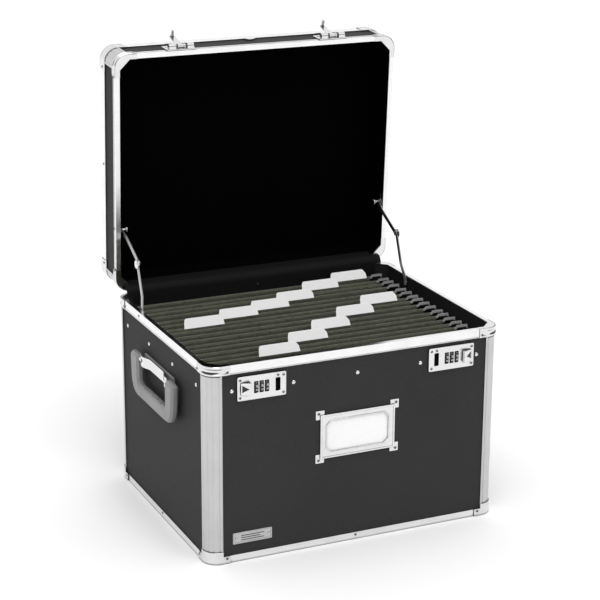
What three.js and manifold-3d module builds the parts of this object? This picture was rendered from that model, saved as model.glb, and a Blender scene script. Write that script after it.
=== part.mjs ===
// Locking hanging-file chest: dark panels held in aluminium edge trim, with a lid hinged at the back.
// Millimetres. X runs right, Y runs back, Z runs up. The chest stands on z = 0, centred on X and Y.
// The lid is drawn shut, then turned about the hinge pin to the open position it rests in.
import * as THREE from 'three';
import { mergeVertices } from 'three/addons/utils/BufferGeometryUtils.js';
import Module from 'manifold-3d';

const wasm = await Module();
wasm.setup();

// ---------------------------------------------------------------- driving dimensions
const WIDTH = 444.5;
const DEPTH = 355.6;
const CASE_HEIGHT = 286;
const LID_HEIGHT = 65;
const CORNER_RADIUS = 20;
const OPEN_ANGLE = THREE.MathUtils.degToRad(87);

const GAP = 0.3;
const SKIN = 1.2;
const PANEL_THICKNESS = 4.2;
const PANEL_INSET = SKIN + GAP;
const INNER_INSET = PANEL_INSET + PANEL_THICKNESS;
const PANEL_END_INSET = 20.6;

const RIM_WIDTH = 7;
const RIM_INNER_FLANGE = 1;
const CASE_RIM_SKIRT = 13;
const LID_RIM_SKIRT = 8;
const BASE_SKIRT = 10.6;
const LID_TOP_SKIRT = 19;
const EDGE_LEG = 19;
const POST_WIDTH = 22;

const HALF_W = WIDTH / 2;
const HALF_D = DEPTH / 2;
const CASE_RIM_Z = CASE_HEIGHT - 0.2;
const LID_RIM_Z = CASE_HEIGHT + 0.2;
const LID_TOP_Z = CASE_HEIGHT + LID_HEIGHT;
const PIN = { y: HALF_D + 2.9, z: CASE_HEIGHT };

// ---------------------------------------------------------------- materials
const paint = (color, metalness, roughness) => ({ color, metalness, roughness });
const LAMINATE = paint(0x2b2b2c, 0, 0.75);
const SATIN_ALUMINIUM = paint(0xc9cacb, 0.9, 0.35);
const BRIGHT_ALUMINIUM = paint(0xe4e5e6, 0.95, 0.2);
const CHROME = paint(0xeeeeef, 1, 0.1);
const STEEL = paint(0x9a9b9d, 0.9, 0.35);
const GREY_PLASTIC = paint(0x8d8e8f, 0, 0.5);
const BLACK_PLASTIC = paint(0x141414, 0, 0.5);
const OLIVE_CARD = paint(0x4b4d3f, 0, 0.9);
const WHITE_CARD = paint(0xf4f4f2, 0, 0.8);

// ---------------------------------------------------------------- geometry helpers
const group = new THREE.Group();
group.name = 'file_chest';

function add(name, geometry, material) {
  const mesh = new THREE.Mesh(geometry, new THREE.MeshStandardMaterial(material));
  mesh.name = name;
  group.add(mesh);
}

function toManifold(geometry) {
  const bare = geometry.clone();
  bare.deleteAttribute('normal');
  bare.deleteAttribute('uv');
  const merged = mergeVertices(bare, 1e-4);
  return new wasm.Manifold(new wasm.Mesh({
    numProp: 3,
    vertProperties: new Float32Array(merged.attributes.position.array),
    triVerts: new Uint32Array(merged.index.array),
  }));
}

function fromManifold(solid) {
  const mesh = solid.getMesh();
  const geometry = new THREE.BufferGeometry();
  geometry.setAttribute('position', new THREE.BufferAttribute(mesh.vertProperties, 3));
  geometry.setIndex(new THREE.BufferAttribute(mesh.triVerts, 1));
  geometry.computeVertexNormals();
  return geometry;
}

function union(...geometries) {
  return fromManifold(geometries.map(toManifold).reduce((sum, next) => sum.add(next)));
}

function cut(geometry, ...tools) {
  return fromManifold(tools.map(toManifold).reduce((rest, tool) => rest.subtract(tool), toManifold(geometry)));
}

function common(first, second) {
  return fromManifold(toManifold(first).intersect(toManifold(second)));
}

function block(x0, x1, y0, y1, z0, z1) {
  const box = new THREE.BoxGeometry(x1 - x0, y1 - y0, z1 - z0);
  return box.translate((x0 + x1) / 2, (y0 + y1) / 2, (z0 + z1) / 2);
}

// Mirrors a left or right piece to the other side, keeping its faces turned outward.
function mirrorX(geometry) {
  const mirrored = mergeVertices(geometry.clone()).scale(-1, 1, 1);
  const index = mirrored.index.array;
  for (let i = 0; i < index.length; i += 3) {
    [index[i], index[i + 1]] = [index[i + 1], index[i]];
  }
  mirrored.computeVertexNormals();
  return mirrored;
}

function extrude(shape, depth, curveSegments = 6) {
  return new THREE.ExtrudeGeometry(shape, { depth, bevelEnabled: false, curveSegments });
}

function extrudeZ(shape, z0, z1, curveSegments) {
  return extrude(shape, z1 - z0, curveSegments).translate(0, 0, z0);
}

// A shape drawn in (y, z), run along X.
function extrudeX(shape, x0, x1, curveSegments) {
  const turn = new THREE.Matrix4().makeBasis(
    new THREE.Vector3(0, 1, 0),
    new THREE.Vector3(0, 0, 1),
    new THREE.Vector3(1, 0, 0),
  );
  return extrude(shape, x1 - x0, curveSegments).applyMatrix4(turn).translate(x0, 0, 0);
}

// A shape drawn in (x, z), run along Y.
function extrudeY(shape, y0, y1, curveSegments) {
  const turn = new THREE.Matrix4().makeBasis(
    new THREE.Vector3(1, 0, 0),
    new THREE.Vector3(0, 0, 1),
    new THREE.Vector3(0, -1, 0),
  );
  return extrude(shape, y1 - y0, curveSegments).applyMatrix4(turn).translate(0, y1, 0);
}

function polygon(points) {
  return new THREE.Shape(points.map(([a, b]) => new THREE.Vector2(a, b)));
}

function rodX(radius, x0, x1, y, z, segments = 16) {
  const rod = new THREE.CylinderGeometry(radius, radius, x1 - x0, segments);
  return rod.rotateZ(Math.PI / 2).translate((x0 + x1) / 2, y, z);
}

function rodY(radius, y0, y1, x, z, segments = 16) {
  return new THREE.CylinderGeometry(radius, radius, y1 - y0, segments).translate(x, (y0 + y1) / 2, z);
}

// Outline of the chest in plan, moved inward by inset, with its corners still concentric.
function planPath(Path, inset) {
  const x = HALF_W - inset;
  const y = HALF_D - inset;
  const r = CORNER_RADIUS - inset;
  const path = new Path();
  path.moveTo(-x + r, -y);
  path.lineTo(x - r, -y);
  path.absarc(x - r, -y + r, r, -Math.PI / 2, 0, false);
  path.lineTo(x, y - r);
  path.absarc(x - r, y - r, r, 0, Math.PI / 2, false);
  path.lineTo(-x + r, y);
  path.absarc(-x + r, y - r, r, Math.PI / 2, Math.PI, false);
  path.lineTo(-x, -y + r);
  path.absarc(-x + r, -y + r, r, Math.PI, 1.5 * Math.PI, false);
  return path;
}

function plate(inset, z0, z1) {
  return extrudeZ(planPath(THREE.Shape, inset), z0, z1);
}

function ring(outerInset, innerInset, z0, z1) {
  const shape = planPath(THREE.Shape, outerInset);
  shape.holes.push(planPath(THREE.Path, innerInset));
  return extrudeZ(shape, z0, z1);
}

// Turns a piece of the shut lid about the hinge pin to where the open lid rests.
function openLid(geometry) {
  return geometry.translate(0, -PIN.y, -PIN.z).rotateX(-OPEN_ANGLE).translate(0, PIN.y, PIN.z);
}

function addLid(name, geometry, material) {
  add(name, openLid(geometry), material);
}

// ---------------------------------------------------------------- walls
const LOCK = { x: 144, z: 251, halfWidth: 35.5, halfHeight: 17 };
const LOCK_BODY = { inner: -28, outer: 33, halfHeight: 13.5, back: -161 };

function lockCutout(side) {
  const ends = [LOCK_BODY.inner - GAP, LOCK_BODY.outer + GAP].map((u) => side * (LOCK.x + u));
  const [x0, x1] = ends.sort((a, b) => a - b);
  const reach = LOCK_BODY.halfHeight + GAP;
  return block(x0, x1, -HALF_D, -HALF_D + 2 * INNER_INSET, LOCK.z - reach, LOCK.z + reach);
}

// Four flat walls between the corner posts, from z0 to z1.
function walls(z0, z1) {
  const endX = HALF_W - PANEL_END_INSET;
  const endY = HALF_D - PANEL_END_INSET;
  return {
    front: block(-endX, endX, -HALF_D + PANEL_INSET, -HALF_D + INNER_INSET, z0, z1),
    rear: block(-endX, endX, HALF_D - INNER_INSET, HALF_D - PANEL_INSET, z0, z1),
    left: block(-HALF_W + PANEL_INSET, -HALF_W + INNER_INSET, -endY, endY, z0, z1),
    right: block(HALF_W - INNER_INSET, HALF_W - PANEL_INSET, -endY, endY, z0, z1),
  };
}

const FLOOR_BOTTOM = SKIN + GAP;
const FLOOR_TOP = FLOOR_BOTTOM + PANEL_THICKNESS;
const LID_PANEL_TOP = LID_TOP_Z - PANEL_INSET;
const LID_PANEL_BOTTOM = LID_PANEL_TOP - PANEL_THICKNESS;

const caseWalls = walls(FLOOR_TOP + GAP, CASE_RIM_Z - PANEL_INSET);
// The floor is rebated round its underside, so that the base frame's leg lies flush with it.
const floorBody = plate(PANEL_INSET, FLOOR_BOTTOM, FLOOR_TOP);
add('case_floor_panel', union(floorBody, plate(EDGE_LEG + GAP, 0, FLOOR_TOP - 1)), LAMINATE);
add('case_front_panel', cut(caseWalls.front, lockCutout(-1), lockCutout(1)), LAMINATE);
add('case_rear_panel', caseWalls.rear, LAMINATE);
add('case_left_panel', caseWalls.left, LAMINATE);
add('case_right_panel', caseWalls.right, LAMINATE);

const lidWalls = walls(LID_RIM_Z + PANEL_INSET, LID_PANEL_BOTTOM - GAP);
addLid('lid_top_panel', plate(PANEL_INSET, LID_PANEL_BOTTOM, LID_PANEL_TOP), LAMINATE);
addLid('lid_front_panel', lidWalls.front, LAMINATE);
addLid('lid_rear_panel', lidWalls.rear, LAMINATE);
addLid('lid_left_panel', lidWalls.left, LAMINATE);
addLid('lid_right_panel', lidWalls.right, LAMINATE);

// ---------------------------------------------------------------- edge frames and corner posts
// A frame of channel: an outer skirt, a web across the panel edge, and a short inner flange.
function rimFrame(webZ, into, skirt, innerDrop) {
  const span = (length) => [webZ, webZ + into * length].sort((a, b) => a - b);
  return union(
    ring(0, SKIN, ...span(skirt)),
    ring(0, RIM_WIDTH, ...span(SKIN)),
    ring(RIM_WIDTH - RIM_INNER_FLANGE, RIM_WIDTH, ...span(innerDrop)),
  );
}

// A frame of angle: an outer skirt up the walls and a leg across the flat panel.
function edgeFrame(legZ, into, skirt) {
  const span = (length) => [legZ, legZ + into * length].sort((a, b) => a - b);
  return union(ring(0, SKIN, ...span(skirt)), ring(0, EDGE_LEG, ...span(SKIN)));
}

add('case_rim_frame', rimFrame(CASE_RIM_Z, -1, CASE_RIM_SKIRT, 6), BRIGHT_ALUMINIUM);
add('case_base_frame', edgeFrame(0, 1, BASE_SKIRT), BRIGHT_ALUMINIUM);
addLid('lid_rim_frame', rimFrame(LID_RIM_Z, 1, LID_RIM_SKIRT, 6), BRIGHT_ALUMINIUM);
addLid('lid_top_frame', edgeFrame(LID_TOP_Z, -1, LID_TOP_SKIRT), BRIGHT_ALUMINIUM);

// Post section with the chest's corner at the origin and both walls running along the positive axes.
function postShape() {
  const slotEnd = PANEL_END_INSET - GAP;
  const innerFace = INNER_INSET + GAP;
  const legFace = innerFace + SKIN;
  const legEnd = 27;
  const shape = new THREE.Shape();
  shape.moveTo(POST_WIDTH, 0);
  shape.lineTo(POST_WIDTH, SKIN);
  shape.lineTo(slotEnd, SKIN);
  shape.lineTo(slotEnd, innerFace);
  shape.lineTo(legEnd, innerFace);
  shape.lineTo(legEnd, legFace);
  shape.lineTo(legFace, legFace);
  shape.lineTo(legFace, legEnd);
  shape.lineTo(innerFace, legEnd);
  shape.lineTo(innerFace, slotEnd);
  shape.lineTo(SKIN, slotEnd);
  shape.lineTo(SKIN, POST_WIDTH);
  shape.lineTo(0, POST_WIDTH);
  shape.lineTo(0, CORNER_RADIUS);
  shape.absarc(CORNER_RADIUS, CORNER_RADIUS, CORNER_RADIUS, Math.PI, 1.5 * Math.PI, false);
  return shape;
}

const CORNERS = [
  { name: 'front_left', x: -HALF_W, y: -HALF_D, turn: 0 },
  { name: 'front_right', x: HALF_W, y: -HALF_D, turn: Math.PI / 2 },
  { name: 'rear_right', x: HALF_W, y: HALF_D, turn: Math.PI },
  { name: 'rear_left', x: -HALF_W, y: HALF_D, turn: 1.5 * Math.PI },
];

function post(corner, z0, z1) {
  return extrudeZ(postShape(), z0, z1).rotateZ(corner.turn).translate(corner.x, corner.y, 0);
}

const CAP = { reach: 32, skirt: 11, cornerReach: 22, cornerHeight: 18, thickness: 1.3 };

// Wrap-round cap outside the post and base frame: low arms, and a taller part round the corner.
function baseCap(corner) {
  const band = ring(-GAP - CAP.thickness, -GAP, 0, CAP.cornerHeight);
  const low = block(-CAP.reach, CAP.reach, -CAP.reach, CAP.reach, 0, CAP.skirt);
  const tall = block(-CAP.cornerReach, CAP.cornerReach, -CAP.cornerReach, CAP.cornerReach, 0, CAP.cornerHeight);
  return common(band, union(low, tall).translate(corner.x, corner.y, 0));
}

for (const corner of CORNERS) {
  const casePost = post(corner, BASE_SKIRT + GAP, CASE_RIM_Z - CASE_RIM_SKIRT - GAP);
  const lidPost = post(corner, LID_RIM_Z + LID_RIM_SKIRT + GAP, LID_TOP_Z - LID_TOP_SKIRT - GAP);
  add(`case_post_${corner.name}`, casePost, SATIN_ALUMINIUM);
  add(`base_cap_${corner.name}`, baseCap(corner), CHROME);
  addLid(`lid_post_${corner.name}`, lidPost, SATIN_ALUMINIUM);
}

// ---------------------------------------------------------------- rear hinge
const HINGE = { halfLength: 190, knuckles: 7, knuckleRadius: 2.5, boreRadius: 1.35, pinRadius: 1.2 };
const HINGE_LEAF = { y0: HALF_D + GAP, y1: HALF_D + GAP + 1, reach: 24, near: 3 };

// One leaf: a plate on the back, with every other knuckle joined to it. side is -1 case, +1 lid.
function hingeLeaf(side, firstKnuckle) {
  const span = (a, b) => [PIN.z + side * a, PIN.z + side * b].sort((p, q) => p - q);
  const step = (2 * HINGE.halfLength) / HINGE.knuckles;
  const pieces = [block(
    -HINGE.halfLength,
    HINGE.halfLength,
    HINGE_LEAF.y0,
    HINGE_LEAF.y1,
    ...span(HINGE_LEAF.near, HINGE_LEAF.reach),
  )];
  const bore = rodX(HINGE.boreRadius, -HALF_W, HALF_W, PIN.y, PIN.z, 12);
  for (let i = firstKnuckle; i < HINGE.knuckles; i += 2) {
    const x0 = -HINGE.halfLength + i * step + GAP;
    const x1 = x0 + step - 2 * GAP;
    pieces.push(rodX(HINGE.knuckleRadius, x0, x1, PIN.y, PIN.z, 12));
    pieces.push(block(x0, x1, HINGE_LEAF.y0, HINGE_LEAF.y1, ...span(0, HINGE_LEAF.near + GAP)));
  }
  return cut(union(...pieces), bore);
}

add('hinge_leaf_case', hingeLeaf(-1, 0), STEEL);
add('hinge_pin', rodX(HINGE.pinRadius, -HINGE.halfLength, HINGE.halfLength, PIN.y, PIN.z, 10), STEEL);
addLid('hinge_leaf_lid', hingeLeaf(1, 1), STEEL);

// ---------------------------------------------------------------- combination locks
const LOCK_FRONT = -HALF_D - 2.3;
const PLATE_BACK = -HALF_D + PANEL_INSET - GAP;
const DIAL = { radius: 9, width: 5.4, pitch: 7.8, first: -7.4, bore: 2.3, axle: 2, clearance: 0.4 };
const DIAL_Y = LOCK_FRONT + 7.4;
const HASP_SLOT = { u: -23.5, halfWidth: 3.25, halfHeight: 9.25, back: -167 };
const THUMB = { inner: 17, outer: 31, halfHeight: 8.5, high: 6.6, low: 1.4, stem: [20, 27], travel: 4 };
const THUMB_STEM_HALF = 4;
const THUMB_POCKET_BACK = LOCK_FRONT + 6.4;
const DIAL_OFFSETS = [0, 1, 2].map((i) => DIAL.first + i * DIAL.pitch);

// A block placed in the right-hand lock: u runs outboard from its centre and v up.
function lockBlock(u0, u1, v0, v1, y0, y1) {
  return block(LOCK.x + u0, LOCK.x + u1, y0, y1, LOCK.z + v0, LOCK.z + v1);
}

function lockBody() {
  const { halfWidth, halfHeight } = LOCK;
  const face = lockBlock(-halfWidth, halfWidth, -halfHeight, halfHeight, LOCK_FRONT, PLATE_BACK);
  const reach = LOCK_BODY.halfHeight;
  const housing = lockBlock(LOCK_BODY.inner, LOCK_BODY.outer, -reach, reach, PLATE_BACK - 1, LOCK_BODY.back);
  const haspSlot = lockBlock(
    HASP_SLOT.u - HASP_SLOT.halfWidth,
    HASP_SLOT.u + HASP_SLOT.halfWidth,
    -HASP_SLOT.halfHeight,
    HASP_SLOT.halfHeight,
    LOCK_FRONT - 1,
    HASP_SLOT.back,
  );
  const thumbSlot = lockBlock(
    THUMB.stem[0] - GAP,
    THUMB.stem[1] + THUMB.travel + GAP,
    -THUMB_STEM_HALF - GAP,
    THUMB_STEM_HALF + GAP,
    LOCK_FRONT - 1,
    THUMB_POCKET_BACK + GAP,
  );
  const pocketHalf = DIAL.width / 2 + GAP;
  const pockets = DIAL_OFFSETS.map((u) => rodX(
    DIAL.radius + DIAL.clearance,
    LOCK.x + u - pocketHalf,
    LOCK.x + u + pocketHalf,
    DIAL_Y,
    LOCK.z,
    24,
  ));
  const hollow = cut(union(face, housing), haspSlot, thumbSlot, ...pockets);
  const axleEnd = DIAL.pitch + pocketHalf + 1;
  const middle = LOCK.x + DIAL_OFFSETS[1];
  return union(hollow, rodX(DIAL.axle, middle - axleEnd, middle + axleEnd, DIAL_Y, LOCK.z, 10));
}

function lockDial(u) {
  const profile = [
    [DIAL.bore, -DIAL.width / 2],
    [DIAL.radius, -DIAL.width / 2],
    [DIAL.radius, DIAL.width / 2],
    [DIAL.bore, DIAL.width / 2],
    [DIAL.bore, -DIAL.width / 2],
  ].map(([r, h]) => new THREE.Vector2(r, h));
  return new THREE.LatheGeometry(profile, 20).rotateZ(Math.PI / 2).translate(LOCK.x + u, DIAL_Y, LOCK.z);
}

// Thumb slide: a wedge, steep on its inboard end, on a stem that runs in the lock's slot.
function lockThumb() {
  const face = LOCK_FRONT - GAP;
  const wedge = polygon([
    [LOCK.x + THUMB.inner, face],
    [LOCK.x + THUMB.inner, face - THUMB.high],
    [LOCK.x + THUMB.inner + 2.5, face - THUMB.high],
    [LOCK.x + THUMB.outer, face - THUMB.low],
    [LOCK.x + THUMB.outer, face],
  ]);
  const cap = extrudeZ(wedge, LOCK.z - THUMB.halfHeight, LOCK.z + THUMB.halfHeight);
  const stem = lockBlock(...THUMB.stem, -THUMB_STEM_HALF, THUMB_STEM_HALF, face - 1, THUMB_POCKET_BACK);
  return union(cap, stem);
}

const SIDES = [
  { name: 'right', place: (geometry) => geometry },
  { name: 'left', place: mirrorX },
];
const DIAL_NAMES = ['inner', 'middle', 'outer'];

for (const side of SIDES) {
  add(`lock_${side.name}`, side.place(lockBody()), CHROME);
  add(`lock_thumb_${side.name}`, side.place(lockThumb()), CHROME);
  DIAL_NAMES.forEach((position, i) => {
    add(`lock_dial_${side.name}_${position}`, side.place(lockDial(DIAL_OFFSETS[i])), STEEL);
  });
}

// ---------------------------------------------------------------- hasps on the lid
const HASP_X = LOCK.x + HASP_SLOT.u;
const HASP_PLATE = { halfWidth: 22, z0: LID_RIM_Z + 0.6, z1: LID_RIM_Z + 27, thickness: 1.5 };
const HASP_PLATE_FRONT = -HALF_D - GAP - HASP_PLATE.thickness;
const HASP_PIVOT = { y: HASP_PLATE_FRONT - 4, z: CASE_HEIGHT + 5.5 };
const HASP_EAR = { inner: 9, outer: 19, radius: 4 };
const HASP_ARM = { halfWidth: 6, barrel: 3.3, bore: 1.75, pin: 1.5, thickness: 2, tongueHalf: 2.5 };
const HASP_REST_ANGLE = THREE.MathUtils.degToRad(168);

function haspPlate() {
  const back = -HALF_D - GAP;
  const pieces = [
    block(
      HASP_X - HASP_PLATE.halfWidth,
      HASP_X + HASP_PLATE.halfWidth,
      HASP_PLATE_FRONT,
      back,
      HASP_PLATE.z0,
      HASP_PLATE.z1,
    ),
    rodX(HASP_ARM.pin, HASP_X - HASP_EAR.outer, HASP_X + HASP_EAR.outer, HASP_PIVOT.y, HASP_PIVOT.z, 10),
  ];
  for (const direction of [-1, 1]) {
    const ends = [HASP_EAR.inner, HASP_EAR.outer].map((u) => HASP_X + direction * u);
    const [x0, x1] = ends.sort((a, b) => a - b);
    pieces.push(rodX(HASP_EAR.radius, x0, x1, HASP_PIVOT.y, HASP_PIVOT.z));
    pieces.push(block(
      x0,
      x1,
      HASP_PIVOT.y,
      HASP_PLATE_FRONT + 0.5,
      HASP_PIVOT.z - HASP_EAR.radius,
      HASP_PIVOT.z + HASP_EAR.radius,
    ));
  }
  return union(...pieces);
}

// Drawn latched, hanging over the joint with its tongue in the lock, then swung back over the lid.
function haspArm() {
  const strapFront = HASP_PIVOT.y - HASP_ARM.barrel;
  const strapBack = strapFront + HASP_ARM.thickness;
  const low = LOCK.z + 1;
  const high = LOCK.z + 7;
  const { halfWidth, tongueHalf } = HASP_ARM;
  const solid = union(
    rodX(HASP_ARM.barrel, HASP_X - halfWidth, HASP_X + halfWidth, HASP_PIVOT.y, HASP_PIVOT.z),
    block(HASP_X - halfWidth, HASP_X + halfWidth, strapFront, strapBack, low, HASP_PIVOT.z),
    block(HASP_X - tongueHalf, HASP_X + tongueHalf, strapFront + 1, LOCK_FRONT + 5, low, high),
  );
  const bore = rodX(HASP_ARM.bore, HASP_X - HALF_W, HASP_X + HALF_W, HASP_PIVOT.y, HASP_PIVOT.z, 12);
  return cut(solid, bore)
    .translate(0, -HASP_PIVOT.y, -HASP_PIVOT.z)
    .rotateX(-HASP_REST_ANGLE)
    .translate(0, HASP_PIVOT.y, HASP_PIVOT.z);
}

for (const side of SIDES) {
  addLid(`hasp_plate_${side.name}`, side.place(haspPlate()), CHROME);
  addLid(`hasp_arm_${side.name}`, side.place(haspArm()), CHROME);
}

const TAB = { x: 3, radius: 9, thickness: 2.4 };

// Half-round tab on the middle of the lid front, just under the top frame.
function lidTab() {
  const top = LID_TOP_Z - LID_TOP_SKIRT - GAP;
  const back = -HALF_D + PANEL_INSET - GAP;
  const shape = new THREE.Shape();
  shape.moveTo(TAB.x - TAB.radius, top);
  shape.absarc(TAB.x, top, TAB.radius, Math.PI, 2 * Math.PI, false);
  return extrudeY(shape, back - TAB.thickness, back, 10);
}

addLid('lid_front_tab', lidTab(), CHROME);

// ---------------------------------------------------------------- label holder and nameplate
const LABEL = { x: 0.6, z: 162.6, halfWidth: 57, halfHeight: 32, tab: 13, tabReach: 6.5 };
const LABEL_WINDOW = { halfWidth: 47, halfHeight: 22.5, chamfer: 7 };
const LABEL_FRONT = PLATE_BACK - 2.4;
const LABEL_BACK = PLATE_BACK - 0.9;

function labelWindow() {
  const { halfWidth: w, halfHeight: h, chamfer: c } = LABEL_WINDOW;
  const corners = [
    [w - c, h], [-w + c, h], [-w, h - c], [-w, -h + c],
    [-w + c, -h], [w - c, -h], [w, -h + c], [w, h - c],
  ];
  const shape = polygon(corners.map(([x, z]) => [LABEL.x + x, LABEL.z + z]));
  return extrudeY(shape, LABEL_FRONT - 1, LABEL_BACK + 1);
}

function labelHolder() {
  const { x, z, halfWidth: w, halfHeight: h } = LABEL;
  const bars = block(x - w, x + w, LABEL_FRONT, LABEL_BACK, z - h, z + h);
  const frame = cut(bars, labelWindow());
  const tabs = [];
  for (const sideX of [-1, 1]) {
    for (const sideZ of [-1, 1]) {
      const centreX = x + sideX * (w + LABEL.tabReach - LABEL.tab / 2);
      const centreZ = z + sideZ * (h + LABEL.tabReach - LABEL.tab / 2);
      tabs.push(block(
        centreX - LABEL.tab / 2,
        centreX + LABEL.tab / 2,
        LABEL_FRONT,
        PLATE_BACK,
        centreZ - LABEL.tab / 2,
        centreZ + LABEL.tab / 2,
      ));
    }
  }
  return union(frame, ...tabs);
}

const CARD = { halfWidth: 49.5, halfHeight: 24.5, thickness: 0.5 };
const NAMEPLATE = { x0: -186, x1: -128, z0: 26, z1: 42.5, thickness: 0.9 };

add('label_holder', labelHolder(), CHROME);
add('label_card', block(
  LABEL.x - CARD.halfWidth,
  LABEL.x + CARD.halfWidth,
  PLATE_BACK - CARD.thickness,
  PLATE_BACK,
  LABEL.z - CARD.halfHeight,
  LABEL.z + CARD.halfHeight,
), WHITE_CARD);
add('nameplate', block(
  NAMEPLATE.x0,
  NAMEPLATE.x1,
  PLATE_BACK - NAMEPLATE.thickness,
  PLATE_BACK,
  NAMEPLATE.z0,
  NAMEPLATE.z1,
), SATIN_ALUMINIUM);

// ---------------------------------------------------------------- side handles
// Drawn on the right-hand side. out is the distance outward from the chest's side face.
const HANDLE = { z: 226, out: 9, halfLength: 85, legInner: 55, thickness: 11.5, drop: 58, barInner: 37 };
const MOUNT = { halfLength: 60, taper: 3, above: 6.5, below: 12, out0: -PANEL_INSET + GAP, out1: 2.2 };
const STRAP = { middle: 27, bend: 41, end: 53.5, near: 2.5, far: 8, thickness: 2.2, above: 5, below: 8 };
const STUB = { radius: 3, bore: 3.3, start: 45, end: 72 };

// Moulded backing plate, longer along its lower edge.
function handleMount() {
  const { halfLength: l, taper } = MOUNT;
  const top = HANDLE.z + MOUNT.above;
  const bottom = HANDLE.z - MOUNT.below;
  const shape = polygon([[-l, bottom], [l, bottom], [l - taper, top], [-l + taper, top]]);
  return extrudeX(shape, HALF_W + MOUNT.out0, HALF_W + MOUNT.out1);
}

// Metal strap along the backing plate. Its ends bend outward and carry the stubs that the grip swings on.
function handleStrap() {
  const { middle, bend, end, near, far, thickness, above, below } = STRAP;
  const inner = [[near, -middle], [far, -bend], [far, -end]];
  const outer = inner.map(([out, y]) => [out + thickness, y]).reverse();
  const lowHalf = [...inner, ...outer];
  const highHalf = lowHalf.map(([out, y]) => [out, -y]).reverse();
  const shape = polygon([...lowHalf, ...highHalf].map(([out, y]) => [HALF_W + out, y]));
  const pivotX = HALF_W + HANDLE.out;
  const stubs = [[-STUB.end, -STUB.start], [STUB.start, STUB.end]].map(
    ([y0, y1]) => rodY(STUB.radius, y0, y1, pivotX, HANDLE.z, 12),
  );
  return union(extrudeZ(shape, HANDLE.z - below, HANDLE.z + above), ...stubs);
}

// U-shaped grip hanging from the stubs: two legs with round ends, and a bar with rounded lower corners.
function handleGrip() {
  const { halfLength: l, legInner: i, thickness, drop, barInner, z } = HANDLE;
  const bend = 24;
  const lean = 4;
  const innerBend = 8;
  const shape = new THREE.Shape();
  shape.moveTo(-l, z);
  shape.lineTo(-l + lean, z - drop + bend);
  shape.quadraticCurveTo(-l + 2 * lean, z - drop, -l + 2 * bend, z - drop);
  shape.lineTo(l - 2 * bend, z - drop);
  shape.quadraticCurveTo(l - 2 * lean, z - drop, l - lean, z - drop + bend);
  shape.lineTo(l, z);
  shape.lineTo(i, z);
  shape.lineTo(i, z - barInner + innerBend);
  shape.quadraticCurveTo(i, z - barInner, i - innerBend, z - barInner);
  shape.lineTo(-i + innerBend, z - barInner);
  shape.quadraticCurveTo(-i, z - barInner, -i, z - barInner + innerBend);
  shape.lineTo(-i, z);
  const middle = HALF_W + HANDLE.out;
  const bar = extrudeX(shape, middle - thickness / 2, middle + thickness / 2, 5);
  const legEnds = [[-l, -i], [i, l]].map(([y0, y1]) => rodY(thickness / 2, y0, y1, middle, z, 20));
  const boreEnd = STUB.end + GAP;
  const bores = [[-boreEnd, -i + 1], [i - 1, boreEnd]].map(([y0, y1]) => rodY(STUB.bore, y0, y1, middle, z, 12));
  return cut(union(bar, ...legEnds), ...bores);
}

for (const side of SIDES) {
  add(`handle_mount_${side.name}`, side.place(handleMount()), GREY_PLASTIC);
  add(`handle_strap_${side.name}`, side.place(handleStrap()), CHROME);
  add(`handle_grip_${side.name}`, side.place(handleGrip()), GREY_PLASTIC);
}

// ---------------------------------------------------------------- lid stays
// Positions are (y, z). The lid's pivot is given by its reach from the hinge pin and its height above
// the rim with the lid shut. The two links of a stay run side by side and meet at the elbow.
const STAY_CASE = { y: 91.3, z: 274.3 };
const STAY_ELBOW = { y: 119.7, z: 348.3 };
const STAY_LID_SHUT = { reach: 94.8, rise: 9.9 };
const LINK = { halfWidth: 4.5, thickness: 1.6, lowerX: 209.4, upperX: 207.5, bossRadius: 2.6 };
const WALL_FACE = HALF_W - INNER_INSET - GAP;

function lidPivotOpen() {
  const cos = Math.cos(OPEN_ANGLE);
  const sin = Math.sin(OPEN_ANGLE);
  const { reach, rise } = STAY_LID_SHUT;
  return { y: PIN.y - reach * cos + rise * sin, z: PIN.z + reach * sin + rise * cos };
}

// Flat bar with round ends from one pivot to the other, with a boss at the first that meets the wall.
function stayLink(from, to, x0) {
  const length = Math.hypot(to.y - from.y, to.z - from.z);
  const angle = Math.atan2(to.z - from.z, to.y - from.y);
  const w = LINK.halfWidth;
  const shape = new THREE.Shape();
  shape.moveTo(0, -w);
  shape.lineTo(length, -w);
  shape.absarc(length, 0, w, -Math.PI / 2, Math.PI / 2, false);
  shape.lineTo(0, w);
  shape.absarc(0, 0, w, Math.PI / 2, 1.5 * Math.PI, false);
  const bar = extrudeX(shape, x0, x0 + LINK.thickness, 8).rotateX(angle).translate(0, from.y, from.z);
  return union(bar, rodX(LINK.bossRadius, x0 + LINK.thickness / 2, WALL_FACE, from.y, from.z, 12));
}

for (const side of SIDES) {
  add(`stay_lower_${side.name}`, side.place(stayLink(STAY_CASE, STAY_ELBOW, LINK.lowerX)), STEEL);
  add(`stay_upper_${side.name}`, side.place(stayLink(lidPivotOpen(), STAY_ELBOW, LINK.upperX)), STEEL);
}

// ---------------------------------------------------------------- file rails and hanging files
const RAIL = { y0: -160, y1: 168, low: 246, shelf: 262, lip: 266.2, inner: 204, thickness: 1.2 };
const RAIL_BACK = WALL_FACE - SKIN - GAP;

// Ledge along a side wall, just clear of the posts' inner legs, with an upturned lip for the hooks.
function fileRail() {
  const { low, shelf, lip, inner, thickness: t } = RAIL;
  const shape = polygon([
    [RAIL_BACK, low], [RAIL_BACK, shelf], [inner + t, shelf], [inner + t, lip],
    [inner, lip], [inner, shelf - t], [RAIL_BACK - t, shelf - t], [RAIL_BACK - t, low],
  ]);
  return extrudeY(shape, RAIL.y0, RAIL.y1);
}

for (const side of SIDES) {
  add(`file_rail_${side.name}`, side.place(fileRail()), BLACK_PLASTIC);
}

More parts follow.
